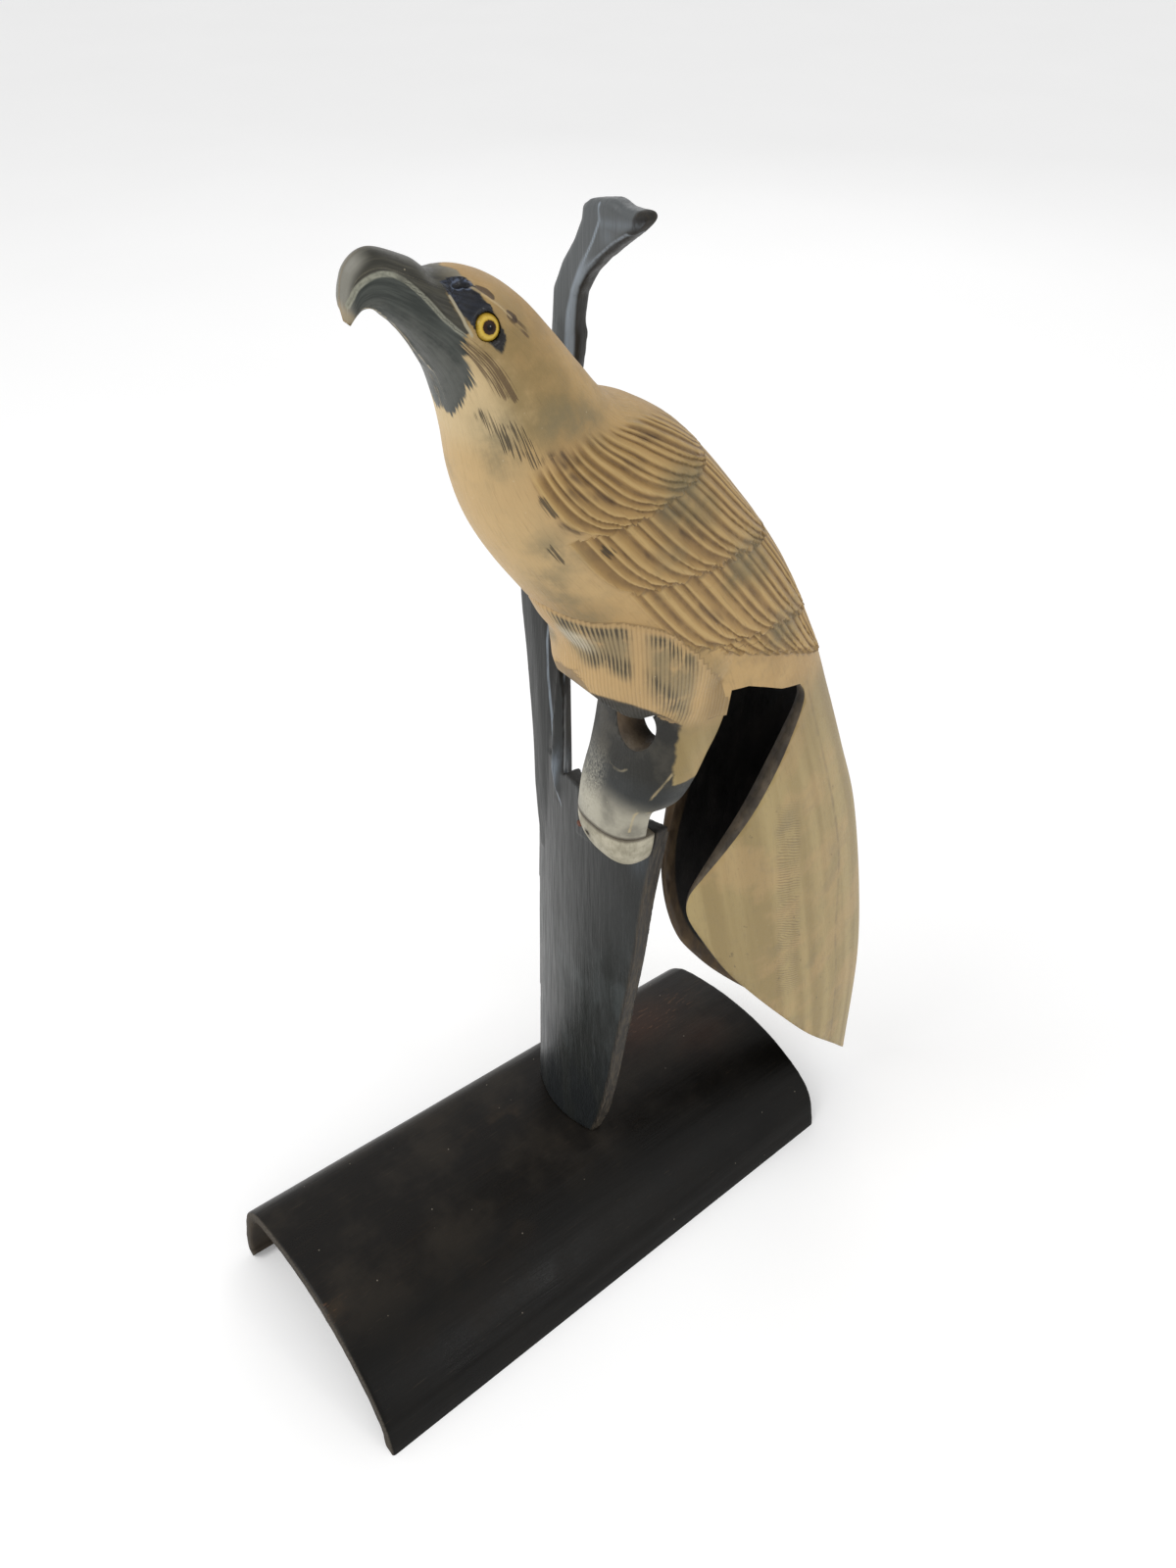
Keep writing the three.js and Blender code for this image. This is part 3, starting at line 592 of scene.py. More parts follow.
def trail(features, step=0.12, turn_step=3):
    """Closely spaced points, in millimetres, along a line of rib positions and degrees on the horn."""
    features = np.asarray(features, float)
    pieces = []
    for start, end in zip(features[:-1], features[1:]):
        ribs, degrees = np.abs(end - start)
        count = max(int(max(ribs / step, degrees / turn_step)), 1)
        pieces.append(start + (end - start) * (np.arange(count) / count)[:, None])
    line = np.concatenate(pieces + [features[-1:]])
    return horn_surface(RIBS, line[:, 0], np.radians(line[:, 1]))


def distance_to_line(points, line):
    """Distance from each point to a line through a row of points."""
    line = np.asarray(line, float)
    best = np.full(len(points), 1e9)
    for a, b in zip(line[:-1], line[1:]):
        run = b - a
        t = np.clip((points - a) @ run / max(run @ run, 1e-9), 0, 1)
        best = np.minimum(best, np.linalg.norm(points - (a + t[:, None] * run), axis=1))
    return best


def inside(polygon, u, degrees):
    """Whether rib positions and degrees lie inside a polygon."""
    result = np.zeros(len(u), dtype=bool)
    corners = np.asarray(polygon, float)
    for (u0, a0), (u1, a1) in zip(corners, np.roll(corners, -1, axis=0)):
        crosses = (a0 > degrees) != (a1 > degrees)
        span = np.where(a1 == a0, 1e-9, a1 - a0)
        result ^= crosses & (u < u0 + (degrees - a0) * (u1 - u0) / span)
    return result


def side_of_line(points, u, degrees, line, corners=()):
    """Distance from a line on the horn, positive in the polygon that the corners close it to. Without
    corners the line is the polygon's own border."""
    border = line if corners else line + line[:1]
    distance = distance_to_line(points, trail(border))
    return np.where(inside(line + list(corners), u, degrees), distance, -distance)


def strength(points, strokes, width):
    """How strongly any of the strokes marks each point, from 0 to 1."""
    marks = [bell(distance_to_line(points, trail(stroke)) / width) for stroke in strokes]
    return np.maximum.reduce(marks)


class Horn:
    """Finds rib positions and angles of points near the horn's smooth surface."""

    def __init__(self):
        places, angles = np.linspace(0, LAST_RIB, 221), 2 * math.pi * np.arange(121) / 120
        points = horn_surface(RIBS, *np.meshgrid(places, angles, indexing="ij"))
        n, m = len(places), len(angles)
        i, j = np.meshgrid(np.arange(n - 1), np.arange(m - 1), indexing="ij")
        corner = (i * m + j).ravel()
        faces = np.stack([corner, corner + 1, corner + m + 1, corner + m], 1)
        middles = [(places[i] + places[i + 1]).ravel() / 2, (angles[j] + angles[j + 1]).ravel() / 2]
        self.centres = np.stack(middles, 1)
        self.tree = BVHTree.FromPolygons(points.reshape(-1, 3).tolist(), faces.tolist())

    def locate(self, points):
        """Rib positions and angles of the nearest places on the horn."""
        index = np.array([self.tree.find_nearest(p)[2] for p in points.tolist()])
        u, angle = self.centres[index].T.copy()
        step = 1e-3
        for _ in range(4):
            here = horn_surface(RIBS, u, angle)
            along = (horn_surface(RIBS, u + step, angle) - here) / step
            around = (horn_surface(RIBS, u, angle + step) - here) / step
            gap = points - here
            uu, aa = np.sum(along**2, 1) + 1e-6, np.sum(around**2, 1) + 1e-6
            ua = np.sum(along * around, 1)
            gap_u, gap_a = np.sum(gap * along, 1), np.sum(gap * around, 1)
            determinant = uu * aa - ua**2 + 1e-6
            u = np.clip(u + np.clip((gap_u * aa - gap_a * ua) / determinant, -0.2, 0.2), 0, LAST_RIB)
            angle = angle + np.clip((gap_a * uu - gap_u * ua) / determinant, -0.1, 0.1)
        return u, np.mod(angle, 2 * math.pi)


def head_relief(points, u, angle):
    """How far the carved lines and ridges of the head move its skin out, in millimetres."""
    near = u > HEAD_START
    p = mirrored_to_left(points[near])
    ribs, degrees = u[near], np.degrees(folded(angle[near]))
    lines = (MOUTH_LINE, JAW_LINE, EYE_CREASE, BROW_LINE, NOSTRIL)
    mouth, jaw, crease, brow, nostril = (distance_to_line(p, trail(line)) for line in lines)
    patch = side_of_line(p, ribs, degrees, EYE_PATCH)
    eye = np.linalg.norm(p - EYE_CENTRE, axis=1)
    crown = smoothstep(np.cos(angle[near]), 0.3, 0.85)
    amount = -0.5 * bell(mouth / 0.4)
    amount += 0.2 * bell((mouth - 1.0) / 0.6)
    amount += crown * (0.3 * bell((ribs - 16.55) / 0.35) - 1.3 * bell((ribs - 17.35) / 0.4))
    amount += 0.3 * bell(jaw / 0.6)
    amount += 0.22 * bell(crease / 0.5)
    amount += 0.4 * bell(brow / 0.9)
    amount -= 0.7 * bell(nostril / 0.75)
    amount += 0.2 * bell((nostril - 1.5) / 0.5)
    amount -= 0.35 * smoothstep(patch, 0.0, 1.6)
    amount += 0.55 * bell((eye - 4.7) / 0.8)
    lift = np.zeros(len(u))
    lift[near] = amount
    return lift


def feather_profile(strip):
    """The height of one feather from its upper side to its lower one, from 0 to 1."""
    rising = np.sin(strip / 0.7 * math.pi / 2) ** 1.2
    return np.where(strip < 0.7, rising, np.cos((strip - 0.7) / 0.3 * math.pi / 2))


def uneven(count, tier):
    """A feather count whose steps are not all the same width."""
    return count + 0.16 * np.sin(2.1 * count + 1.3 * tier) + 0.07 * np.sin(5.3 * count + 0.7 * tier)


def feather_fields(u, angle):
    """For points on the horn: how far a feather tier lifts them, the feather count, the distance in
    millimetres above the nearest tier edge, how far they belong to the wing, and to a tier's edge."""
    turned = folded(angle)
    across = np.cos(turned)
    arc = (2 * math.pi - turned) * WING_RADIUS + np.where(np.sin(angle) > 0, RIGHT_WING_SHIFT, 0.0)
    edges = []
    for i, (end, lean) in enumerate(zip(TIER_ENDS, TIER_LEANS)):
        tip = uneven(arc / FEATHER_WIDTH + FEATHER_SHIFT * i, i) % 1.0
        scallop = 1.7 * np.where(tip < 0.75, tip / 0.75, (1 - tip) / 0.25) - 0.8
        edges.append(end - lean * across - scallop / RIB_LENGTH)
    degrees, starts = np.array(WING_TOP).T
    uppers = edges[1:] + [np.interp(np.degrees(turned), degrees, starts)]
    lift, count, wing, rim = np.zeros((4, len(u)))
    above = np.full_like(u, 99.0)
    for i, (lower, upper) in enumerate(zip(edges, uppers)):
        top_tier = i == len(edges) - 1
        b = (u - lower) * RIB_LENGTH
        length = np.maximum((upper - lower) * RIB_LENGTH, 2.0)
        here = (b >= 0) & (u < upper)
        curl, reach = TOP_FEATHER_CURL if top_tier else FEATHER_CURL
        swing = curl * (1 - np.exp(-np.maximum(b, 0) / reach))
        feather = uneven((arc - swing) / FEATHER_WIDTH + FEATHER_SHIFT * i, i)
        limit = smoothstep(WING_FRONTS[i] - (arc - swing), -0.4, 1.2)
        fade = smoothstep(upper - u, 0, 0.45) if top_tier else 1.0
        rise = TIER_RELIEF * np.clip(1 - b / length, 0, 1) ** 1.1
        height = (rise + FEATHER_RELIEF * (feather_profile(feather % 1.0) - 0.5) * fade) * limit
        height *= 1 - 0.85 * smoothstep(across, 0.72, 0.95)
        lift = np.where(here, height, lift)
        count = np.where(here, feather, count)
        above = np.where(here, b, above)
        wing = np.where(here, limit * fade, wing)
        rim = np.where(here, limit, rim)
        near = ~here & (b < 0) & (b > -6) & (np.abs(b) < np.abs(above))
        above = np.where(near, b, above)
        rim = np.where(near, limit, rim)
    return lift, count, above, wing, rim


def swell_thigh(bird):
    """Cuts the crease over each thigh and lets the thigh swell below it."""
    raw = points_of(bird)
    near = (raw[:, 2] > 318) & (raw[:, 2] < 385) & (raw[:, 0] > -45)
    p = raw[near]
    u, angle = HORN.locate(p)
    degrees = np.degrees(folded(angle))
    side = side_of_line(mirrored_to_left(p), u, degrees, THIGH_CREASE, THIGH_CORNERS)
    skin = smoothstep(np.linalg.norm(p - ROLL_CENTRE, axis=1), 25, 27)
    skin *= smoothstep(np.linalg.norm(p - horn_surface(RIBS, u, angle), axis=1), 12, 10)
    skin *= smoothstep(p[:, 0], -31, -19)
    lift = THIGH_SWELL * smoothstep(side, 0, 7) * smoothstep(side, 28, 12)
    lift -= CREASE_DEPTH * bell(side / 0.9)
    raw[near] += normals_of(bird)[near] * (lift * skin)[:, None]
    set_points(bird, raw)
    weight = np.zeros(len(raw))
    weight[near] = 0.6 * skin * smoothstep(side, 1.5, 4) * smoothstep(side, 27, 22)
    relax(bird, weight, times=50)


def bird_rings():
    """Dense rings of the horn with its carved relief."""
    rings = []
    for low, high, steps, count in RING_PLAN:
        for place in np.linspace(low, high, steps, endpoint=high == LAST_RIB):
            turn = turns(count)
            turn = turn - 0.18 * np.sin(turn)
            u = np.full(count, place)
            points = horn_surface(RIBS, u, turn)
            lift = np.zeros(count)
            if 6.0 < place < 13.6:
                lift += feather_fields(u, turn)[0]
            if place > HEAD_START:
                lift += head_relief(points, u, turn) * smoothstep(LAST_RIB - place, 0, 0.6)
            rings.append(points + horn_normals(RIBS, u, turn) * lift[:, None])
    return rings


def block_rings(levels, points, steps):
    """Rings of a block that is full at the sides and rounded in front, from the lowest level up."""
    def rounded(values):
        return np.sign(values) * np.abs(values) ** (2 / LEG_ROUNDING)

    cos, sin = rounded(np.cos(turns(points))), rounded(np.sin(turns(points)))
    rings = []
    for z, front, rear, y, half in smooth_line(sorted(levels), steps):
        middle, reach = (front + rear) / 2, (front - rear) / 2
        rings.append(np.stack([middle + reach * cos, y + half * sin, np.full(points, z)], 1))
    return rings


def slab_rings(grow, thickness, steps, across):
    """Rings of the slab from the plate up, grown on all sides."""
    side = np.linspace(-1, 1, across)
    levels = smooth_line(SLAB_LEVELS, steps)
    levels[0, 0] -= grow
    levels[-1, 0] += grow
    rings = []
    for z, left, right, sag in levels:
        x = SLAB_FRONT + grow - sag * side**2
        y = (left + right) / 2 + ((right - left) / 2 + grow) * side
        front = np.stack([x, y, np.full(across, z)], 1)
        rings.append(np.concatenate([front, front[::-1] - [thickness + 2 * grow, 0, 0]]))
    return rings


def ball(name, centre, radii, around, levels):
    """A closed round skin."""
    turn = turns(around)
    rings = []
    for tilt in np.linspace(0.04, math.pi - 0.04, levels):
        high = np.full(around, -math.cos(tilt))
        ring = np.stack([math.sin(tilt) * np.cos(turn), math.sin(tilt) * np.sin(turn), high], 1)
        rings.append(centre + np.array(radii) * ring)
    return loft(name, rings)


def tail_opening(name, edge, from_y, to_y):
    """The room between the two halves of the tail, up to the belly and the thigh, on one side."""
    thigh = smooth_line(THIGH_EDGE[1:], 60)
    outline = np.concatenate([BELLY_EDGE, smooth_line(edge, 150), UNDER_TAIL, THIGH_EDGE[:1], thigh])
    return block(name, 1, outline, from_y, to_y)


def leg_window():
    """The opening right through between the legs."""
    y, low, high, half = LEG_WINDOW
    z = (low + high) / 2 + (high - low) / 2 * np.sin(turns(64))
    return block("window", 0, np.stack([y + half * np.cos(turns(64)), z], 1), -CUT_REACH, CUT_REACH)


def build_bird():
    """The horn with its legs, hollow, window, open tail and eye sockets."""
    bird = loft("carved_bird", bird_rings())
    bird.data.materials.append(SKIN)
    left, right = BIRD_SIDE + CUT_REACH, BIRD_SIDE - CUT_REACH
    combine(bird, ball("roll", ROLL_CENTRE, ROLL_RADII, around=136, levels=84), "UNION", SKIN)
    combine(bird, tail_opening("opening_left", TAIL_EDGE_LEFT, BIRD_SIDE, left), "DIFFERENCE", CUT)
    combine(bird, tail_opening("opening_right", TAIL_EDGE_RIGHT, right, BIRD_SIDE), "DIFFERENCE", CUT)
    legs = loft("legs", block_rings(LEG_LEVELS, points=128, steps=80))
    legs.data.materials.append(SKIN)
    rear = np.concatenate([LEG_REAR[:2], smooth_line(LEG_REAR[2:9], 40), LEG_REAR[9:]])
    combine(legs, block("rear", 1, rear, right, left), "DIFFERENCE", CUT)
    combine(bird, legs, "UNION")
    places = np.linspace(0, len(HOLLOW_RIBS) - 1, 80)
    hollow = [horn_surface(HOLLOW_RIBS, np.full(72, place), turns(72)) for place in places]
    low = FOOT_BOTTOM - CUT_REACH
    under = [(-30, FOOT_BOTTOM), (-30, low), (40, low), (40, FOOT_BOTTOM)]
    for room, finish in (
        (loft("hollow", hollow), HOLLOW),
        (loft("shin", block_rings(SHIN_HOLLOW, points=64, steps=30)), HOLLOW),
        (leg_window(), CUT),
        (block("under_foot", 1, under, right, left), CUT),
        (loft("slab_room", slab_rings(GAP, SLAB_THICKNESS, steps=40, across=40)), CUT),
    ):
        combine(bird, room, "DIFFERENCE", finish)
    swell_thigh(bird)
    for side in (1, -1):
        centre = (EYE["x"], BIRD_SIDE + side * EYE["aside"], EYE["z"])
        socket = ball("socket", centre, [EYE["radius"] + GAP] * 3, around=48, levels=30)
        combine(bird, socket, "DIFFERENCE", HOLLOW)
    low, high = (np.array(corner) * 1000 - OFFSET for corner in cad_box)
    set_points(bird, np.clip(points_of(bird), low, high))
    return bird


def paint_bird(bird):
    """Stores on the bird's points where they lie on the horn, and how near they are to each mark."""
    raw = points_of(bird)
    u, angle = HORN.locate(raw)
    points = mirrored_to_left(raw)
    x, y, z = points.T
    turned = folded(angle)
    degrees = np.degrees(turned)
    left = (raw[:, 1] > BIRD_SIDE).astype(float)
    _, count, above, wing, rim_of_tier = feather_fields(u, angle)
    on_neck = z > 330
    ribs = np.arange(0, LAST_RIB + 0.1)
    side_line = horn_surface(RIBS, ribs, np.full(len(ribs), 1.5 * math.pi))
    lengths = np.concatenate([[0], np.cumsum(np.linalg.norm(np.diff(side_line, axis=0), axis=1))])
    store(bird, {
        "rib": u,
        "along": np.interp(u, ribs, lengths),
        "around": turned * HORN_RADIUS,
        "back": np.cos(angle),
        "feather": count,
        "above": above,
        "wing": wing,
        "tier_rim": rim_of_tier,
    })

    head = u > 13.5
    place = points[head], u[head], degrees[head]
    smooth = horn_surface(RIBS, u[head], np.radians(degrees[head]))
    fields = {
        "mouth": side_of_line(*place, MOUTH_LINE, UPPER_BEAK_CORNERS),
        "jaw": side_of_line(*place, JAW_LINE, JAW_CORNERS),
        "crease": distance_to_line(smooth, trail(EYE_CREASE)),
        "brow": distance_to_line(smooth, trail(BROW_LINE)),
        "nostril": distance_to_line(smooth, trail(NOSTRIL)),
        "culmen": distance_to_line(points[head], trail(CULMEN_BAND)),
        "beak": side_of_line(*place, BEAK_EDGE),
        "patch": side_of_line(*place, EYE_PATCH),
    }
    for name, values in fields.items():
        everywhere = np.full(len(u), -50.0 if name in ("beak", "patch") else 50.0)
        everywhere[head] = values
        store(bird, {name: everywhere})

    short = [[(place + 0.14, turn - 2.2), (place - 0.14, turn + 2.2)] for place, turn in BROWN_MARKS]
    store(bird, {
        "brown": strength(points, BROWN_STROKES, 0.95) * on_neck,
        "black": strength(points, BLACK_STROKES, 1.7) * on_neck * left,
        "smudge": strength(points, SMUDGES, 6.0) * on_neck * left,
        "marks": strength(points, short, 1.5) * left,
        "olive": strength(points, OLIVE_MARKS, 4.5) * left,
        "spot": strength(points, BROW_SPOTS, 1.4),
    })

    near = (z > 305) & (z < 385)
    thigh = np.full(len(u), -20.0)
    thigh[near] = side_of_line(points[near], u[near], degrees[near], THIGH_CREASE, THIGH_CORNERS)
    azimuth = np.arctan2((y - BIRD_SIDE) / ROLL_RADII[1], (x - ROLL_CENTRE[0]) / ROLL_RADII[0])
    above_rim = np.interp(x, *np.array(SKIN_RIM).T) - z
    grey = np.maximum(np.minimum(above_rim, x - SKIN_LEG_FRONT), SKIN_LEG_END - z)
    grey = np.maximum(grey, np.minimum(above_rim, INNER_SHIN - y))
    rear_x, rear_z = np.array(LEG_REAR[2:]).T
    leg = (z < 340) & (x > np.interp(z, rear_z, rear_x) - 2) & (x < 14) & (z > FOOT_BOTTOM - 2)
    streaks = np.minimum.reduce([distance_to_line(points, streak) for streak in TAN_STREAKS])
    brink = np.insert(np.array(TAIL_EDGE_RIGHT, float), 1, 0, axis=1)
    store(bird, {
        "thigh": thigh,
        "comb": azimuth * COMB_RADIUS,
        "grey": np.where(leg, grey, -20),
        "streak": np.where(leg, streaks, 50),
        "crescent": np.where(leg, distance_to_line(raw, PALE_CRESCENT), 50),
        "brink": np.where(raw[:, 1] < BIRD_SIDE, distance_to_line(raw * [1, 0, 1], brink), 50),
    })


def linear(value):
    """A part of a linear colour from a value between 0 and 255 as a screen shows it."""
    value /= 255
    return value / 12.92 if value <= 0.04045 else ((value + 0.055) / 1.055) ** 2.4


class Finish:
    """A material and short ways to write its nodes. Places are in millimetres."""

    def __init__(self, name, specular=0.5):
        self.material = bpy.data.materials.new(name)
        self.material.use_nodes = True
        self.tree = self.material.node_tree
        self.shader = self.tree.nodes["Principled BSDF"]
        coordinates = self.node("ShaderNodeTexCoord")
        scale = self.node("ShaderNodeVectorMath", operation="SCALE")
        scale.inputs["Scale"].default_value = 1000
        self.put(coordinates.outputs["Object"], scale.inputs[0])
        self.place = scale.outputs[0]
        self.set(self.shader, {"Specular IOR Level": specular})

    def node(self, kind, **settings):
        node = self.tree.nodes.new(kind)
        for name, value in settings.items():
            setattr(node, name, value)
        return node

    def put(self, value, socket):
        """Links a node's output to a socket, or sets the socket to a value or a screen colour."""
        if isinstance(value, bpy.types.NodeSocket):
            self.tree.links.new(value, socket)
        elif socket.type == "RGBA":
            socket.default_value = (*map(linear, value), 1.0)
        else:
            socket.default_value = value

    def set(self, node, inputs):
        for name, value in inputs.items():
            self.put(value, node.inputs[name])
        return node

    def attribute(self, name):
        return self.node("ShaderNodeAttribute", attribute_name=name).outputs["Fac"]

    def math(self, operation, a, b=0.0, clamp=False):
        node = self.node("ShaderNodeMath", operation=operation, use_clamp=clamp)
        return self.set(node, {0: a, 1: b}).outputs[0]

    def chain(self, operation, values):
        result = values[0]
        for value in values[1:]:
            result = self.math(operation, result, value)
        return result

    def times(self, *values):
        return self.chain("MULTIPLY", values)

    def plus(self, *values):
        return self.chain("ADD", values)

    def minus(self, a, b):
        return self.math("SUBTRACT", a, b)

    def greater(self, a, b):
        return self.math("MAXIMUM", a, b)

    def centred(self, noise, by):
        """Noise as a value around zero, times a number."""
        return self.times(self.minus(noise, 0.5), by)

    def ramp(self, value, low, high, to_low=0.0, to_high=1.0):
        """Goes smoothly from to_low to to_high while the value goes from low to high."""
        node = self.node("ShaderNodeMapRange", interpolation_type="SMOOTHSTEP")
        if low > high:
            low, high, to_low, to_high = high, low, to_high, to_low
        ends = {"From Min": low, "From Max": high, "To Min": to_low, "To Max": to_high}
        return self.set(node, {"Value": value, **ends}).outputs["Result"]

    def band(self, value, half, soft):
        """1 where the value is within half of zero, fading over soft."""
        return self.ramp(self.math("ABSOLUTE", value), half + soft, half)

    def mix(self, factor, a, b):
        """The colour a where the factor is 0 and b where it is 1."""
        node = self.node("ShaderNodeMix", data_type="RGBA")
        return self.set(node, {0: factor, 6: a, 7: b}).outputs[2]

    def over(self, under, colour, *factors):
        """A colour laid over another one, as strongly as the factors say together."""
        return self.mix(self.times(*factors), under, colour)

    def vector(self, x, y, z=0.0):
        return self.set(self.node("ShaderNodeCombineXYZ"), {0: x, 1: y, 2: z}).outputs[0]

    def parts(self, vector):
        return self.set(self.node("ShaderNodeSeparateXYZ"), {0: vector}).outputs

    def stretched(self, x, y, z):
        """The place with each direction scaled, so that noise on it is drawn out."""
        node = self.node("ShaderNodeVectorMath", operation="MULTIPLY")
        return self.set(node, {0: self.place, 1: (x, y, z)}).outputs[0]

    def noise(self, vector, scale, detail=2.0, rough=0.5):
        inputs = {"Vector": vector, "Scale": scale, "Detail": detail, "Roughness": rough}
        return self.set(self.node("ShaderNodeTexNoise"), inputs).outputs["Fac"]

    def spots(self, scale, size, soft):
        """Small scattered specks: 1 at each, 0 between them."""
        node = self.set(self.node("ShaderNodeTexVoronoi"), {"Vector": self.place, "Scale": scale})
        return self.ramp(node.outputs["Distance"], size + soft, size)

    def finish(self, colour, roughness, height, depth):
        """Sets the colour, roughness and a bump from a height in millimetres times depth."""
        bump = self.node("ShaderNodeBump")
        self.set(bump, {"Distance": depth / 1000, "Strength": 1.0, "Height": height})
        self.set(self.shader, {"Base Color": colour, "Roughness": roughness, "Normal": bump.outputs[0]})
        return self.material


def skin_colour(f):
    """Skin: tan, paler on the chest, browner on the neck."""
    colour = f.mix(f.ramp(f.cloud, 0.35, 0.65), (166, 134, 86), (184, 152, 101))
    colour = f.over(colour, (154, 130, 88), f.ramp(f.mottle, 0.42, 0.75, 0, 0.5))
    chest = f.times(f.ramp(f.back, -0.1, -0.75), f.ramp(f.rib, 8.5, 10.0))
    colour = f.over(colour, (206, 178, 132), chest, 0.5)
    throat = f.times(f.ramp(f.rib, 12.6, 13.6), f.ramp(f.back, 0.1, -0.5))
    colour = f.over(colour, (208, 186, 144), throat, 0.7)
    neck = f.times(f.ramp(f.rib, 12.2, 13.2), f.ramp(f.back, 0.8, 0.2), f.ramp(f.back, -0.7, -0.3))
    neck = f.times(neck, f.ramp(f.mottle, 0.2, 0.6, 0.5, 1.0))
    colour = f.over(colour, (136, 115, 72), neck, 0.85)
    return f.over(colour, (120, 98, 64), f.ramp(f.hairs, 0.5, 0.8, 0, 0.28))


def with_wing(f, colour):
    """Wing: painted shade in the gouges between the feathers and where a tier comes out from under the next
    one, and a painted highlight along each feather's ridge.
    """
    feather, above, f.in_wing = f.attribute("feather"), f.attribute("above"), f.attribute("wing")
    strip = f.math("FRACT", feather)
    # Painted shade in the gouges between the feathers
    gouge_shade = f.greater(f.ramp(strip, 0.5, 0.0), f.ramp(strip, 0.84, 0.98))
    wing = f.mix(f.ramp(f.cloud, 0.4, 0.6), (156, 125, 76), (170, 137, 85))
    # Painted highlight along each feather's ridge
    wing = f.over(wing, (192, 162, 107), f.ramp(strip, 0.45, 0.75), f.ramp(strip, 0.9, 0.8), 0.7)
    wing = f.over(wing, (108, 82, 50), gouge_shade, f.ramp(f.mottle, 0.25, 0.65, 0.4, 0.85))
    wing = f.over(wing, (118, 94, 60), f.ramp(f.fine_hairs, 0.5, 0.8, 0, 0.3))
    colour = f.mix(f.in_wing, colour, wing)
    # Painted shade just below each tier's edge, where the tier above overhangs the next one
    under_tip_shade = f.times(f.ramp(above, -2.4, -0.2), f.ramp(above, 0.35, 0.0), f.attribute("tier_rim"))
    colour = f.over(colour, (92, 72, 46), under_tip_shade, 0.6)
    broken = f.ramp(f.noise(f.flow, 0.9, 2), 0.3, 0.6)
    marks = f.times(f.attribute("marks"), broken, f.ramp(strip, 0.75, 0.5, 0.5, 1.0))
    colour = f.over(colour, (70, 50, 34), f.math("MULTIPLY", marks, 0.9, True))
    olive = f.times(f.attribute("olive"), f.ramp(f.mottle, 0.3, 0.6, 0.5, 1.0))
    return f.over(colour, (98, 90, 62), olive, 0.55)


def with_tail(f, colour):
    """Tail: smooth and greyer, with soft bands, a strip of fine slanting barbs and a line near the back."""
    f.tail = f.ramp(f.rib, 6.9, 6.2)
    bands = f.noise(f.vector(f.around, f.times(f.along, 0.012)), 0.2, 2, 0.5)
    tail_colour = f.mix(f.ramp(bands, 0.35, 0.65), (146, 126, 81), (167, 147, 100))
    tail_colour = f.over(tail_colour, (182, 150, 104), f.ramp(f.cloud, 0.45, 0.6), 0.4)
    tail_colour = f.over(tail_colour, (138, 122, 88), f.ramp(f.mottle, 0.5, 0.8, 0, 0.35))
    tail_colour = f.over(tail_colour, (120, 104, 74), f.ramp(f.fine_hairs, 0.5, 0.8, 0, 0.25))
    tail_colour = f.over(tail_colour, (136, 116, 76), f.ramp(f.rib, 5.0, 6.3, 0, 0.45))
    specks = f.ramp(f.noise(f.vector(f.around, f.times(f.along, 0.3)), 0.5, 3, 0.6), 0.66, 0.76)
    tail_colour = f.over(tail_colour, (84, 70, 50), specks, 0.55)
    slant = f.plus(f.times(f.along, 1.0), f.times(f.around, 1.05), f.times(f.noise(f.place, 0.08, 2), 5.0))
    f.barbs = f.math("SINE", f.times(slant, 3.6))
    barb_place = f.minus(f.around, f.plus(107.3, f.times(f.rib, 2.33)))
    f.barb_mask = f.times(f.band(barb_place, 2.2, 1.2), f.ramp(f.rib, 2.2, 2.6), f.ramp(f.rib, 5.0, 4.6))
    f.barb_mask = f.times(f.barb_mask, f.ramp(f.mottle, 0.3, 0.5))
    tail_colour = f.over(tail_colour, (108, 90, 62), f.barb_mask, f.ramp(f.barbs, 0.2, 0.9), 0.55)
    back_line = f.band(f.minus(f.around, f.ramp(f.rib, 2.7, 3.9, 128.3, 131.5)), 0.15, 0.5)
    back_line = f.times(back_line, f.ramp(f.mottle, 0.3, 0.6))
    tail_colour = f.over(tail_colour, (116, 98, 70), back_line, 0.4)
    return f.mix(f.tail, colour, tail_colour)


def with_strokes(f, colour):
    """Smudges and dark hair-like strokes."""
    smudge = f.math("MULTIPLY", f.attribute("smudge"), f.ramp(f.mottle, 0.25, 0.65, 0.3, 1.0))
    colour = f.over(colour, (116, 108, 82), smudge, 0.65)
    clouds = f.times(f.ramp(f.noise(f.place, 0.05, 3), 0.6, 0.75), 0.35)
    colour = f.over(colour, (126, 114, 84), clouds)
    long_hairs = f.noise(f.vector(f.around, f.times(f.along, 0.03), 6.0), 2.2, 2, 0.5)
    uneven_hairs = f.centred(long_hairs, 5.0)
    f.brown = f.ramp(f.plus(f.times(f.attribute("brown"), 1.1), uneven_hairs), 0.55, 1.2)
    f.brown = f.times(f.brown, f.ramp(f.attribute("brown"), 0.05, 0.35))
    colour = f.over(colour, (80, 60, 42), f.brown, 0.75)
    f.black = f.ramp(f.plus(f.times(f.attribute("black"), 1.2), uneven_hairs), 0.7, 1.4)
    f.black = f.times(f.black, f.ramp(f.attribute("black"), 0.05, 0.4))
    colour = f.over(colour, (52, 46, 36), f.black, 0.8)
    spot = f.ramp(f.plus(f.attribute("spot"), f.centred(f.mottle, 0.5)), 0.35, 0.6)
    return f.over(colour, (62, 44, 32), spot, 0.85)


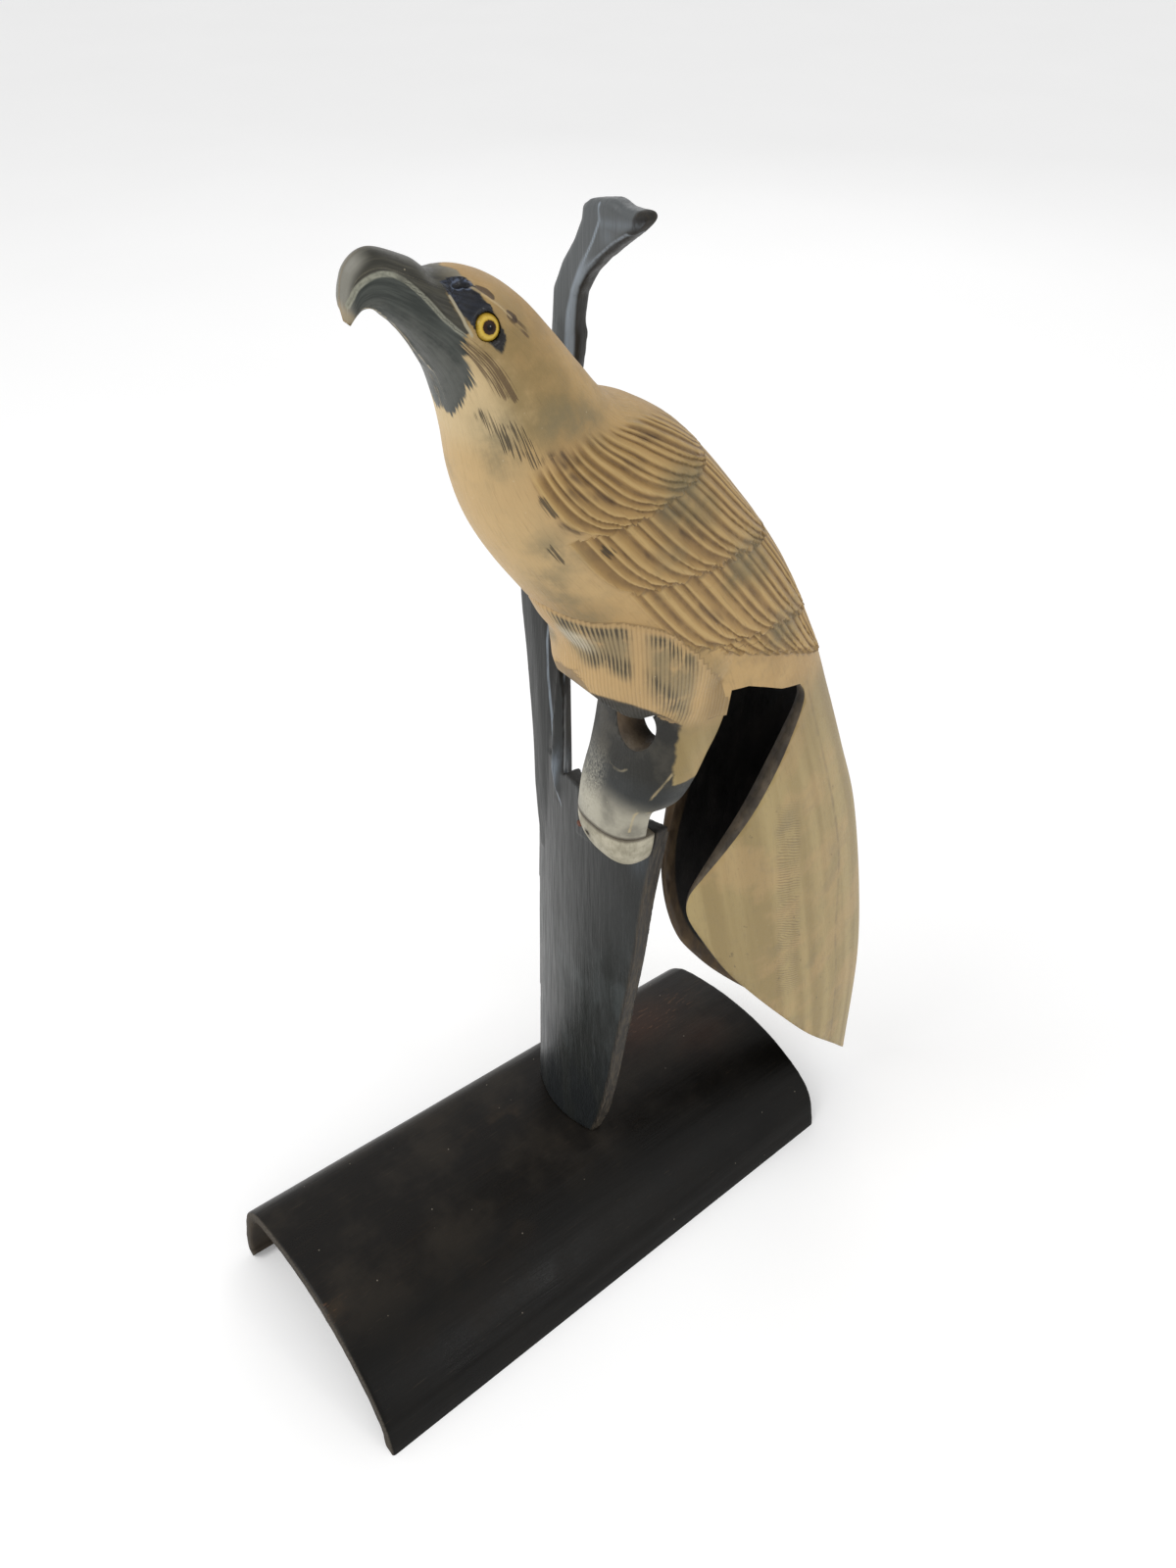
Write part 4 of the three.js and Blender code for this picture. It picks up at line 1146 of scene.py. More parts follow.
def with_thigh(f, colour):
    """Thigh: fine lines that run down it, comb-like black strokes and a pale cloud among them."""
    thigh_place = f.attribute("thigh")
    f.thigh = f.times(f.ramp(thigh_place, -0.3, 0.6), f.ramp(f.height, 314, 322))
    comb = f.attribute("comb")
    drift = f.plus(comb, f.times(f.height, 0.04))
    colour = f.over(colour, (198, 166, 118), f.thigh, 0.6)
    wobble = f.times(f.noise(f.vector(drift, f.times(f.height, 0.1)), 0.25, 2), 7.0)
    f.teeth = f.math("SINE", f.plus(f.times(drift, 5.0), wobble))
    front_patch = f.times(f.ramp(comb, 2, 7), f.ramp(comb, 27, 23), f.ramp(thigh_place, 0.8, 2.2))
    front_patch = f.times(front_patch, f.ramp(thigh_place, 22, 17))
    rear_patch = f.times(f.ramp(comb, 27, 33), f.ramp(comb, 48, 42), f.ramp(thigh_place, 0.8, 3))
    rear_patch = f.times(rear_patch, f.ramp(thigh_place, 22, 14))
    patches = f.times(f.greater(front_patch, rear_patch), f.thigh)
    colour = f.over(colour, (132, 120, 90), patches, f.ramp(f.mottle, 0.2, 0.55), 0.75)
    pale_cloud = f.times(front_patch, f.ramp(comb, 17, 9), f.band(f.minus(thigh_place, 10.5), 2.0, 4.0))
    colour = f.over(colour, (200, 192, 170), pale_cloud, 0.7)
    low_end = f.times(f.ramp(thigh_place, 11, 15), f.ramp(comb, 6, 14))
    ends = f.greater(f.ramp(thigh_place, 7.5, 3.5), low_end)
    lengths = f.noise(f.vector(f.times(drift, 0.8), f.times(f.height, 0.06), 5.0), 0.8, 2)
    breaks = f.plus(f.centred(f.mottle, 2.5), f.centred(lengths, 3.5))
    thick = f.plus(f.teeth, breaks, f.times(ends, 0.5))
    strokes = f.times(f.ramp(thick, 0.35, 1.0), f.plus(0.4, f.times(ends, 0.6)))
    strokes = f.times(strokes, f.ramp(comb, 46, 34, 0.6, 1.0))
    colour = f.over(colour, (44, 42, 36), patches, strokes, 0.95)
    colour = f.over(colour, (128, 104, 66), f.thigh, f.ramp(f.teeth, 0.1, 0.9), 0.22)
    rear_shade = f.times(f.thigh, f.ramp(comb, 46, 56), f.ramp(f.mottle, 0.2, 0.5, 0.7, 1.0))
    colour = f.over(colour, (112, 92, 58), rear_shade, 0.6)
    crease_shade = f.band(f.plus(thigh_place, 0.2), 0.3, 0.9)
    return f.over(colour, (110, 90, 60), crease_shade, 0.4)


def with_legs(f, colour):
    """Legs and feet: mottled grey horn with pale and blue-grey clouds and tan streaks."""
    grey = f.plus(f.attribute("grey"), f.centred(f.mottle, 2.5))
    leg_cloud = f.noise(f.place, 0.09, 4, 0.55)
    leg = f.mix(f.ramp(leg_cloud, 0.4, 0.62), (34, 33, 28), (57, 54, 46))
    dark_shin = f.times(f.ramp(f.height, 272, 281), f.ramp(f.height, 294, 286))
    dark_shin = f.times(dark_shin, f.ramp(leg_cloud, 0.25, 0.55, 0.5, 1.0))
    leg = f.over(leg, (44, 47, 47), dark_shin, 0.8)
    pale_foot = f.times(f.ramp(f.height, 284, 270), f.ramp(leg_cloud, 0.3, 0.6, 0.55, 1.0))
    leg = f.over(leg, (172, 167, 150), pale_foot, 0.9)
    front_light = f.times(f.band(f.minus(f.parts(f.place)[1], 20.0), 3.0, 9.0), f.ramp(f.height, 300, 280))
    leg = f.over(leg, (190, 186, 170), front_light, f.ramp(f.grain, 0.3, 0.7), 0.5)
    scuffs = f.ramp(f.noise(f.stretched(0.4, 0.4, 1.2), 0.9, 4, 0.7), 0.58, 0.75)
    leg = f.over(leg, (60, 58, 50), scuffs, 0.35)
    streak = f.ramp(f.plus(f.attribute("streak"), f.times(f.mottle, 1.0)), 1.25, 0.55)
    leg = f.over(leg, (190, 170, 128), streak, 0.7)
    crescent = f.band(f.attribute("crescent"), 0.1, 0.6)
    leg = f.over(leg, (160, 148, 120), crescent, 0.45)
    seam = f.times(f.ramp(f.height, 263.4, 262.3), 0.7)
    leg = f.over(leg, (60, 48, 34), seam)
    colour = f.mix(f.ramp(grey, -0.6, 0.6), colour, leg)
    from_rim = f.attribute("grey")
    rim_shadow = f.times(f.ramp(from_rim, -0.8, 0.3), f.ramp(from_rim, 2.6, 0.8), f.ramp(f.height, 312, 322))
    return f.over(colour, (66, 60, 52), rim_shadow, 0.6)


def with_head(f, colour):
    """Beak and the dark patch round the eye, with edges that break up into hairs."""
    patch_place = f.attribute("patch")
    patch_edge = f.plus(patch_place, f.centred(f.fine_hairs, 2.0))
    f.patch = f.ramp(patch_edge, -0.3, 0.5)
    ragged = f.centred(f.tufts, f.ramp(f.back, 0.1, -0.4, 1.0, 7.0))
    f.beak = f.ramp(f.greater(f.plus(f.attribute("beak"), ragged), f.plus(patch_place, 0.2)), -0.5, 0.6)
    sheen = f.noise(f.vector(f.around, f.times(f.along, 0.25)), 0.35, 3, 0.6)
    mouth = f.attribute("mouth")
    slate = f.mix(f.ramp(sheen, 0.35, 0.7), (46, 45, 38), (70, 68, 58))
    lower = f.mix(f.ramp(sheen, 0.35, 0.7), (46, 50, 46), (68, 72, 67))
    slate = f.mix(f.ramp(mouth, 0.0, -0.6), slate, lower)
    jaw_sheen = f.times(f.ramp(f.back, -0.35, -0.8), f.ramp(f.mottle, 0.3, 0.6))
    slate = f.over(slate, (100, 100, 94), jaw_sheen, 0.45)
    culmen = f.times(f.ramp(f.attribute("culmen"), 3.0, 0.6), f.ramp(f.rib, 19.0, 19.8))
    slate = f.over(slate, (140, 138, 128), culmen, 0.75)
    slate = f.over(slate, (158, 142, 112), f.ramp(f.rib, 21.0, 21.6), 0.7)
    broad = f.times(f.ramp(f.rib, BROAD_MOUTH_END - 0.3, BROAD_MOUTH_END + 0.3), f.band(mouth, 0.38, 0.45))
    double = f.minus(f.math("ABSOLUTE", mouth), 0.32)
    thin = f.times(f.ramp(f.rib, BROAD_MOUTH_END + 0.3, BROAD_MOUTH_END - 0.3), f.band(double, 0.1, 0.25))
    line = f.greater(broad, f.times(thin, 0.75))
    slate = f.over(slate, (156, 156, 140), line, f.ramp(f.grain, 0.25, 0.6, 0.6, 0.95))
    # Painted highlight along the edge of the lower jaw
    slate = f.over(slate, (184, 170, 140), f.band(f.attribute("jaw"), 0.08, 0.25), 0.8)
    forehead = f.times(f.ramp(f.rib, 17.3, 16.6), f.ramp(f.back, 0.45, 0.9))
    slate = f.over(slate, (128, 120, 100), forehead, 0.75)
    colour = f.mix(f.beak, colour, slate)
    night = f.mix(f.ramp(sheen, 0.35, 0.7), (15, 17, 22), (30, 34, 43))
    night = f.over(night, (30, 27, 26), f.ramp(f.rib, 16.3, 15.3, 0.0, 0.8))
    glint = f.times(f.ramp(f.rib, 16.4, 16.9), f.ramp(f.grain, 0.4, 0.7))
    night = f.over(night, (76, 86, 108), glint, 0.35)
    colour = f.mix(f.patch, colour, night)
    crease = f.band(f.attribute("crease"), 0.2, 0.3)
    colour = f.over(colour, (170, 160, 134), crease, 0.85)
    brow = f.band(f.attribute("brow"), 0.1, 0.4)
    colour = f.over(colour, (200, 178, 136), brow, 0.55)
    nostril = f.attribute("nostril")
    # Painted shade in the nostril's pit
    colour = f.over(colour, (14, 14, 18), f.ramp(nostril, 0.9, 0.4))
    # Painted glint round the nostril's rim
    ring = f.band(f.minus(nostril, 1.15), 0.1, 0.3)
    colour = f.over(colour, (104, 116, 140), ring, f.ramp(f.grain, 0.35, 0.6), 0.5)
    specks = f.times(f.spots(0.16, 0.018, 0.02), f.minus(1.0, f.patch))
    return f.over(colour, (204, 190, 160), specks, 0.5)


def horn_finish():
    """The carved horn: its skin, wings, tail, strokes, thighs, legs and head, one over another."""
    f = Finish("carved_horn", 0.3)
    f.along, f.around = f.attribute("along"), f.attribute("around")
    f.flow = f.vector(f.around, f.times(f.along, 0.07), 0.0)
    f.hairs = f.noise(f.flow, 1.5, 3, 0.6)
    f.fine_hairs = f.noise(f.vector(f.around, f.times(f.along, 0.05), 3.0), 2.6, 2, 0.5)
    f.tufts = f.noise(f.flow, 0.7, 3, 0.6)
    f.cloud = f.noise(f.place, 0.035, 4, 0.55)
    f.mottle = f.noise(f.place, 0.16, 4, 0.6)
    f.grain = f.noise(f.place, 1.1, 3, 0.6)
    f.rib, f.back = f.attribute("rib"), f.attribute("back")
    f.height = f.parts(f.place)[2]
    colour = skin_colour(f)
    for part in (with_wing, with_tail, with_strokes, with_thigh, with_legs, with_head):
        colour = part(f, colour)
    roughness = f.plus(f.ramp(f.grain, 0.2, 0.8, 0.42, 0.58), f.times(f.beak, -0.1), f.times(f.patch, -0.12))
    hair_depth = f.plus(0.35, f.times(f.beak, -0.25), f.times(f.tail, -0.2), f.times(f.in_wing, -0.1))
    relief = f.plus(f.times(f.hairs, hair_depth), f.times(f.fine_hairs, 0.06, f.minus(1.0, f.beak)))
    relief = f.plus(relief, f.times(f.grain, 0.05), f.times(f.barbs, f.barb_mask, 0.06))
    relief = f.plus(relief, f.times(f.teeth, f.thigh, 0.12), f.times(f.brown, -0.2), f.times(f.black, -0.2))
    return f.finish(colour, roughness, relief, 0.55)


def cut_finish():
    f = Finish("cut_horn")
    saw = f.noise(f.stretched(1.0, 1.0, 0.3), 0.8, 3, 0.6)
    cloud = f.noise(f.place, 0.1, 3)
    colour = f.mix(f.ramp(cloud, 0.35, 0.65), (60, 52, 42), (94, 82, 66))
    # Lighter brown on the far half's cut faces: their own brown, lifted as painted light where the lamps
    # leave them in shade
    far = f.ramp(f.parts(f.place)[1], 36, 26)
    colour = f.over(colour, (112, 90, 64), far, 0.85)
    colour = f.over(colour, (40, 34, 28), f.ramp(saw, 0.55, 0.8, 0, 0.45))
    x, y, z = f.parts(f.place)
    across = f.times(f.minus(y, ROLL_Y), 1 / ROLL_RADII[1])
    lengthwise = f.times(f.minus(x, ROLL_X), 1 / ROLL_RADII[0])
    upright = f.times(f.minus(z, ROLL_CENTRE[2]), 1 / ROLL_RADII[2])
    squares = f.plus(f.times(across, across), f.times(lengthwise, lengthwise), f.times(upright, upright))
    thigh_rim = f.times(f.ramp(z, 308, 314), f.ramp(x, -22, -14), f.ramp(squares, 0.84, 0.95))
    colour = f.over(colour, (150, 124, 84), thigh_rim, 0.85)
    return f.finish(colour, f.ramp(saw, 0.3, 0.7, 0.55, 0.75), saw, 0.3)


def hollow_finish():
    f = Finish("dark_hollow")
    cloud = f.noise(f.stretched(1.0, 1.0, 0.4), 0.15, 4, 0.6)
    dust = f.spots(0.35, 0.05, 0.05)
    # Near-black inside: partly the dark inner horn, partly painted shade
    colour = f.mix(f.ramp(cloud, 0.4, 0.7), (14, 12, 11), (34, 29, 25))
    colour = f.over(colour, (120, 112, 100), dust, 0.25)
    # Brown near the right half's tail edge: the cut edge's own brown, lifted as painted light where the
    # lamps leave it in shade
    brink = f.ramp(f.plus(f.attribute("brink"), f.times(cloud, 2.0)), 7.5, 6.0)
    colour = f.mix(brink, colour, f.mix(f.ramp(cloud, 0.35, 0.65), (72, 56, 38), (104, 84, 58)))
    return f.finish(colour, f.ramp(cloud, 0.3, 0.7, 0.6, 0.85), cloud, 0.5)


def toe_finish():
    f = Finish("toe_horn", 0.3)
    cloud = f.noise(f.place, 0.12, 4, 0.6)
    fine = f.noise(f.stretched(1.0, 1.0, 0.25), 1.0, 3, 0.6)
    colour = f.mix(f.ramp(cloud, 0.35, 0.65), (146, 140, 120), (184, 177, 156))
    colour = f.over(colour, (108, 102, 86), f.ramp(fine, 0.5, 0.8, 0, 0.4))
    height = f.parts(f.place)[2]
    colour = f.over(colour, (64, 54, 40), f.ramp(height, 259.8, 261.5, 0, 0.8))
    dirt = f.ramp(f.plus(f.attribute("nail"), f.centred(fine, 2.0)), 2.6, 1.2)
    colour = f.over(colour, (58, 50, 40), dirt, 0.75)
    return f.finish(colour, f.ramp(fine, 0.3, 0.7, 0.45, 0.6), fine, 0.25)


def branch_finish():
    f = Finish("slate_horn", 0.4)
    strokes = f.noise(f.stretched(1.0, 1.0, 0.05), 0.9, 4, 0.6)
    broad = f.noise(f.stretched(1.0, 1.0, 0.2), 0.07, 3, 0.5)
    scratch = f.noise(f.stretched(1.0, 1.0, 0.02), 2.6, 2, 0.5)
    cloud = f.noise(f.place, 0.05, 4, 0.6)
    height = f.parts(f.place)[2]
    plain = f.ramp(height, 442, 452, 1.0, 0.3)
    colour = f.mix(f.ramp(broad, 0.35, 0.65), (38, 40, 38), (52, 54, 53))
    colour = f.over(colour, (66, 70, 70), f.ramp(strokes, 0.5, 0.75, 0, 0.25), plain)
    colour = f.over(colour, (100, 102, 100), f.ramp(scratch, 0.64, 0.76, 0, 0.3), plain)
    colour = f.over(colour, (34, 32, 28), f.ramp(cloud, 0.55, 0.75, 0, 0.45))
    haze = f.noise(f.stretched(1.0, 1.0, 0.5), 0.045, 4, 0.6)
    hazy = f.times(f.ramp(haze, 0.5, 0.7), f.ramp(height, 250, 200))
    colour = f.over(colour, (84, 90, 90), hazy, 0.35)
    foot = f.times(f.ramp(height, 125, 85), f.ramp(broad, 0.3, 0.55))
    colour = f.over(colour, (20, 24, 28), foot, 0.7)
    upper = f.times(f.ramp(height, 150, 240), f.ramp(height, 400, 380))
    colour = f.over(colour, (22, 23, 21), upper, 0.7)
    head = f.ramp(height, 400, 448)
    colour = f.over(colour, (88, 92, 94), head, 0.75)
    brown = f.attribute("brown")
    worn = f.mix(f.ramp(strokes, 0.4, 0.65), (36, 31, 25), (72, 64, 52))
    colour = f.mix(brown, colour, worn)
    # Dark places: dark cut faces, and painted shade on facets turned from the light and under the hook
    dark = f.attribute("dark")
    cut = f.mix(f.ramp(strokes, 0.4, 0.7), (22, 20, 17), (38, 35, 30))
    colour = f.over(colour, cut, dark, 0.85)
    # Pale bluish lines along the ridges, wider on the hook's head: partly edge wear, partly painted
    # highlight
    ridge = f.attribute("ridge")
    bright = f.times(f.ramp(height, 402, 412), f.ramp(height, 450, 440))
    wear = f.times(f.ramp(ridge, 0.75, 0.15), f.ramp(strokes, 0.3, 0.55, 0.45, 1.0))
    wear = f.greater(wear, f.times(f.ramp(ridge, 1.5, 0.3), bright))
    colour = f.over(colour, (140, 150, 160), wear, 0.85)
    cross = f.ramp(f.attribute("cross"), 0.6, 0.1)
    colour = f.over(colour, (96, 96, 90), cross, 0.35)
    # Pale bluish painted highlights
    pale = f.times(f.attribute("pale"), f.ramp(strokes, 0.3, 0.6, 0.4, 1.0))
    colour = f.over(colour, (120, 130, 140), pale, 0.75)
    roughness = f.plus(f.ramp(strokes, 0.3, 0.7, 0.32, 0.48), f.times(brown, 0.2), f.times(dark, 0.1))
    return f.finish(colour, roughness, f.plus(strokes, f.times(scratch, 0.4)), 0.2)


def plate_finish():
    f = Finish("black_horn", 0.16)
    cloud = f.noise(f.place, 0.028, 4, 0.6)
    grain = f.noise(f.stretched(0.06, 1.0, 1.0), 0.8, 4, 0.6)
    fine = f.noise(f.place, 1.4, 3, 0.6)
    colour = f.mix(f.ramp(cloud, 0.4, 0.65), (24, 22, 20), (39, 35, 30))
    colour = f.over(colour, (40, 33, 26), f.ramp(grain, 0.5, 0.8, 0, 0.45))
    blotch = f.centred(f.noise(f.place, 0.11, 4), 1.6)
    patches = f.ramp(f.plus(f.attribute("brown"), blotch), 0.4, 1.0)
    colour = f.over(colour, (60, 48, 35), patches, 0.4)
    x, y, z = f.parts(f.place)
    # Painted shade: darker low on the +Y side and towards the rear end
    low = f.times(f.ramp(z, 43, 27), f.ramp(y, 5, 26))
    far = f.times(f.ramp(x, -35, -75), f.ramp(y, -5, 15))
    colour = f.over(colour, (9, 8, 6), f.greater(low, far), 0.85)
    red = f.times(f.attribute("reddish"), f.ramp(cloud, 0.3, 0.6, 0.5, 1.0))
    colour = f.over(colour, (66, 40, 28), red, 0.5)
    dust = f.spots(0.11, 0.022, 0.02)
    colour = f.over(colour, (150, 142, 128), dust, 0.6)
    lines = f.noise(f.stretched(0.05, 1.2, 1.2), 1.9, 2, 0.5)
    colour = f.over(colour, (78, 66, 52), f.ramp(lines, 0.68, 0.78, 0, 0.3))
    nicks = f.times(f.attribute("nicks"), f.ramp(f.noise(f.stretched(0.15, 1.0, 1.0), 1.1, 2), 0.6, 0.68))
    colour = f.over(colour, (110, 80, 58), nicks, 0.6)
    end = f.attribute("end")
    cut = f.mix(f.ramp(fine, 0.3, 0.7), (58, 52, 46), (92, 86, 76))
    colour = f.mix(f.times(end, 0.85), colour, cut)
    under = f.attribute("under")
    inner = f.mix(f.ramp(cloud, 0.35, 0.65), (46, 40, 34), (72, 64, 54))
    colour = f.mix(f.times(under, 0.8), colour, inner)
    roughness = f.plus(f.ramp(cloud, 0.3, 0.7, 0.26, 0.4), f.ramp(fine, 0.4, 0.8, 0.0, 0.1))
    roughness = f.plus(roughness, f.times(end, 0.3), f.times(under, 0.3))
    relief = f.plus(f.times(grain, 0.6), f.times(fine, 0.15), f.times(lines, 0.3))
    return f.finish(colour, roughness, relief, 0.16)


def eye_finish():
    f = Finish("glass_eye_finish", 0.0)
    off_axis = f.attribute("off_axis")
    turn = f.attribute("turn")
    rays = f.noise(f.vector(f.times(turn, 6.0), off_axis), 1.0, 3, 0.6)
    edge = f.plus(off_axis, f.centred(rays, 0.5))
    colour = f.mix(f.ramp(edge, 1.5, 2.1), (176, 140, 36), (204, 174, 76))
    colour = f.over(colour, (168, 136, 44), f.ramp(edge, 2.2, 2.75))
    colour = f.over(colour, (84, 66, 26), f.ramp(edge, 2.85, 3.2))
    colour = f.over(colour, (142, 108, 28), f.ramp(rays, 0.5, 0.75, 0, 0.35))
    colour = f.over(colour, (40, 20, 9), f.ramp(edge, 1.75, 1.5))
    colour = f.over(colour, (9, 5, 4), f.ramp(off_axis, 0.9, 0.6))
    f.set(f.shader, {"Coat Weight": 0.45, "Coat Roughness": 0.03})
    return f.finish(colour, f.ramp(rays, 0.3, 0.7, 0.12, 0.2), rays, 0.02)


def rust_finish():
    f = Finish("rust")
    rough = f.noise(f.place, 2.2, 4, 0.7)
    colour = f.mix(f.ramp(rough, 0.35, 0.65), (70, 40, 30), (128, 84, 66))
    return f.finish(colour, f.ramp(rough, 0.3, 0.7, 0.75, 0.95), rough, 0.5)


def value_noise(points, size, seed):
    """Smooth noise between -1 and 1 that changes over the given size in millimetres."""
    scaled = points / size
    cell = np.floor(scaled).astype(np.int64)
    w = scaled - cell
    w = w * w * (3 - 2 * w)

    def corner(dx, dy, dz):
        h = (cell + [dx, dy, dz]) @ [374761393, 668265263, 2147483647] + seed * 97
        h = (h ^ (h >> 13)) * 1274126177
        h = h ^ (h >> 16)
        return (h & 0xFFFFFF) / 0x7FFFFF - 1.0

    result = 0
    for dx, dy, dz in itertools.product((0, 1), repeat=3):
        share = (w[:, 0] if dx else 1 - w[:, 0]) * (w[:, 1] if dy else 1 - w[:, 1])
        result = result + corner(dx, dy, dz) * share * (w[:, 2] if dz else 1 - w[:, 2])
    return result


def facet_ring(corners, z):
    """A ring through corners given as X and Y, with a few points on each side so that facets stay flat."""
    share = (np.arange(6) / 6)[None, :, None]
    ring = corners[:, None, :] * (1 - share) + np.roll(corners, -1, axis=0)[:, None, :] * share
    ring = ring.reshape(-1, 2)
    return np.column_stack([ring, np.full(len(ring), z)])


def limb_rings():
    along_y, along_x = np.array(LIMB_CORNERS).T
    return [
        facet_ring(np.stack([x + along_x * depth, y + along_y * half], 1), z)
        for x, y, z, half, depth in smooth_line(LIMB_LEVELS, 140)
    ]


def spear_rings():
    """The spear-shaped facet in which the limb ends on the slab."""
    heights = np.array([level[0] for level in SPEAR_LEVELS], float)
    corners = np.array([level[1:] for level in SPEAR_LEVELS], float)
    rings = []
    for t in np.linspace(0, len(heights) - 1, 60):
        low = min(int(t), len(heights) - 2)
        share = t - low
        ring = corners[low] * (1 - share) + corners[low + 1] * share
        rings.append(facet_ring(ring, heights[low] * (1 - share) + heights[low + 1] * share))
    return rings


def hook_block():
    """The cut hook: a flat shape with chamfered edges."""
    outline = np.array(HOOK_OUTLINE, float)
    caps, doubled_area = fill(outline)
    turn = 1.0 if doubled_area > 0 else -1.0

    def inward(edge):
        normal = np.stack([-edge[:, 1], edge[:, 0]], 1) * turn
        return normal / np.linalg.norm(normal, axis=1, keepdims=True)

    before, after = np.roll(outline, 1, axis=0), np.roll(outline, -1, axis=0)
    bisector = inward(after - outline) + inward(outline - before)
    bisector /= np.maximum(np.linalg.norm(bisector, axis=1, keepdims=True) ** 2, 0.6) / 2
    thick = HOOK_THICKNESS / 2
    rings = []
    for side, chamfer in ((-1, HOOK_CHAMFER), (1, HOOK_CHAMFER[::-1])):
        for depth, inset in chamfer:
            rings.append(np.insert(outline + bisector * inset, 0, HOOK_X + side * (thick - depth), axis=1))
    return capped_loft("hook", rings, caps)


def build_branch():
    """The slab with its stub, limb and hook, scraped, and its worn and dark places, partly painted shade,
    and its painted highlights.
    """
    branch = loft("dark_branch", slab_rings(0, SLAB_THICKNESS, steps=60, across=60))
    top = SLAB_LEVELS[-1][0]
    slope = [(0, top), (60, top - STUB_SLOPE), (60, top + 10), (0, top + 10)]
    left, right = NOTCH_Y - NOTCH_HALF_WIDTH, NOTCH_Y + NOTCH_HALF_WIDTH
    floor = top - NOTCH_DEPTH
    notch = [(left, top + 1), (NOTCH_Y - 1, floor), (NOTCH_Y + 1, floor), (right, top - 3)]
    notch.append((right + 3, top + 1))
    under = np.concatenate([smooth_line(PLATE_ARCH, 200) + [0, GAP], [(-57, -60), (58, -60)]])
    for name, outline in (("slope", slope), ("notch", notch)):
        combine(branch, block(name, 0, outline, -CUT_REACH, CUT_REACH), "DIFFERENCE")
    combine(branch, loft("limb", limb_rings()), "UNION")
    combine(branch, hook_block(), "UNION")
    combine(branch, loft("spear", spear_rings()), "UNION")
    combine(branch, block("under_arch", 0, under, -CUT_REACH, CUT_REACH), "DIFFERENCE")
    apply_modifier(branch, "REMESH", mode="VOXEL", voxel_size=BRANCH_VOXEL / 1000)
    apply_modifier(branch, "SMOOTH", factor=0.5, iterations=3)

    # The slab's side edges, which voxels leave stepped, are drawn smooth again
    p = points_of(branch)
    x, y, z = p.T
    level = smooth_line(SLAB_LEVELS, 200)
    for column, side in ((1, -1), (2, 1)):
        edge = np.interp(z, level[:, 0], level[:, column])
        face = (side * (y - edge) > -0.9) & (np.abs(y - edge) < 2)
        face &= (z > 50) & (z < level[-1, 0] - 6) & (x < 0)
        p[face, 1] = edge[face] - side * 0.15
        back = SLAB_FRONT - SLAB_THICKNESS - np.interp(z, level[:, 0], level[:, 3])
        corner = face & (x < back + 2.2)
        p[corner, 0] = back[corner] + 0.1
    set_points(branch, p)
    apply_modifier(branch, "SMOOTH", factor=0.5, iterations=2)

    # Scraped surface, except at the foot and under the bird
    p = points_of(branch)
    x, y, z = p.T
    normal = normals_of(branch)
    scrape = 0.09 * value_noise(p * [1, 1, 0.07], size=2.2, seed=3)
    scrape += 0.14 * value_noise(p * [1, 1, 0.15], size=7.0, seed=5)
    free = smoothstep(z, 44, 52) * np.where((z > 238) & (x > -19) & (y > 5), 0.0, 1.0)
    set_points(branch, p + normal * ((scrape - 0.15) * free)[:, None])

    # Worn brown edge on the slab's right, dark cut faces with painted shade on facets turned from the light,
    # worn ridges with a painted highlight, and pale bluish painted highlights
    on_slab = z < top + 1
    edge = smoothstep(y - np.interp(z, level[:, 0], level[:, 2]), -1.6, -0.6) * on_slab
    tip = smoothstep(y - 0.2 * (z - 455), 17.5, 19) * (z > 440)
    _, first_y, first_z = np.array(RIDGES[0][::-1]).T
    _, second_y, second_z = np.array(RIDGES[2][::-1] + RIDGES[1][-2::-1]).T
    right_of_first = smoothstep(y - np.interp(z, first_z, first_y), -0.2, 0.6)
    between = right_of_first * smoothstep(np.interp(z, second_z, second_y) - y, -0.2, 0.6)
    # Painted shade on facets turned away from the light
    turned_away = smoothstep(normal[:, 1], 0.8, 0.95) * (z > 262)
    lower = np.maximum(0.75 * between, turned_away) * (x > -27)
    upper = np.maximum(0.75 * right_of_first, turned_away)
    # Dark places: the dark cut top of the slab and the hook's brown tip, with painted shade on facets turned
    # from the light, between the ridges and under the hook
    dark = [
        np.where(z > 301, upper, lower) * (z > 243) * (z < 345),
        smoothstep(normal[:, 1], 0.3, 0.62) * (z >= 345),
        smoothstep(z, 250, 262) * on_slab * smoothstep(normal[:, 2], 0.3, 0.8),
        smoothstep(-normal[:, 2], 0.15, 0.5) * (z > 425),
        tip,
    ]
    on_head = (z > 446) & (y > 5) & (x > -23)
    # Painted highlights: at the spear's tip, on the slab's top corner and on the hook's head
    pale = [
        bell((y + 9.5) / 2.2, (z - 259) / 7),
        0.5 * bell((y - 34) / 3.5, (z - 246) / 10),
        0.55 * bell((z - 457 - 0.15 * (y - 9)) / 1.3) * on_head,
        0.4 * bell((y - 8.5) / 3.0, (z - 453.5) / 2.5) * on_head,
    ]
    store(branch, {
        "brown": np.maximum(edge, tip),
        "dark": np.maximum.reduce(dark),
        "ridge": np.minimum.reduce([distance_to_line(p, line) for line in RIDGES]),
        "cross": distance_to_line(p, CROSS_LINE),
        "pale": np.maximum.reduce(pale),
    })
    return branch


def plate_section(steps):
    """The plate's outline as Y and Z: the arch outside, and a thickness further in inside."""
    outer = smooth_line(PLATE_ARCH, steps)
    before, after = np.roll(outer, 1, axis=0), np.roll(outer, -1, axis=0)
    before[0], after[-1] = outer[0], outer[-1]
    along = after - before
    along /= np.linalg.norm(along, axis=1, keepdims=True)
    inner = outer + np.stack([-along[:, 1], along[:, 0]], 1) * PLATE_THICKNESS
    section = np.concatenate([outer, inner[::-1]])
    section[:, 1] = np.maximum(section[:, 1], 0)
    return section


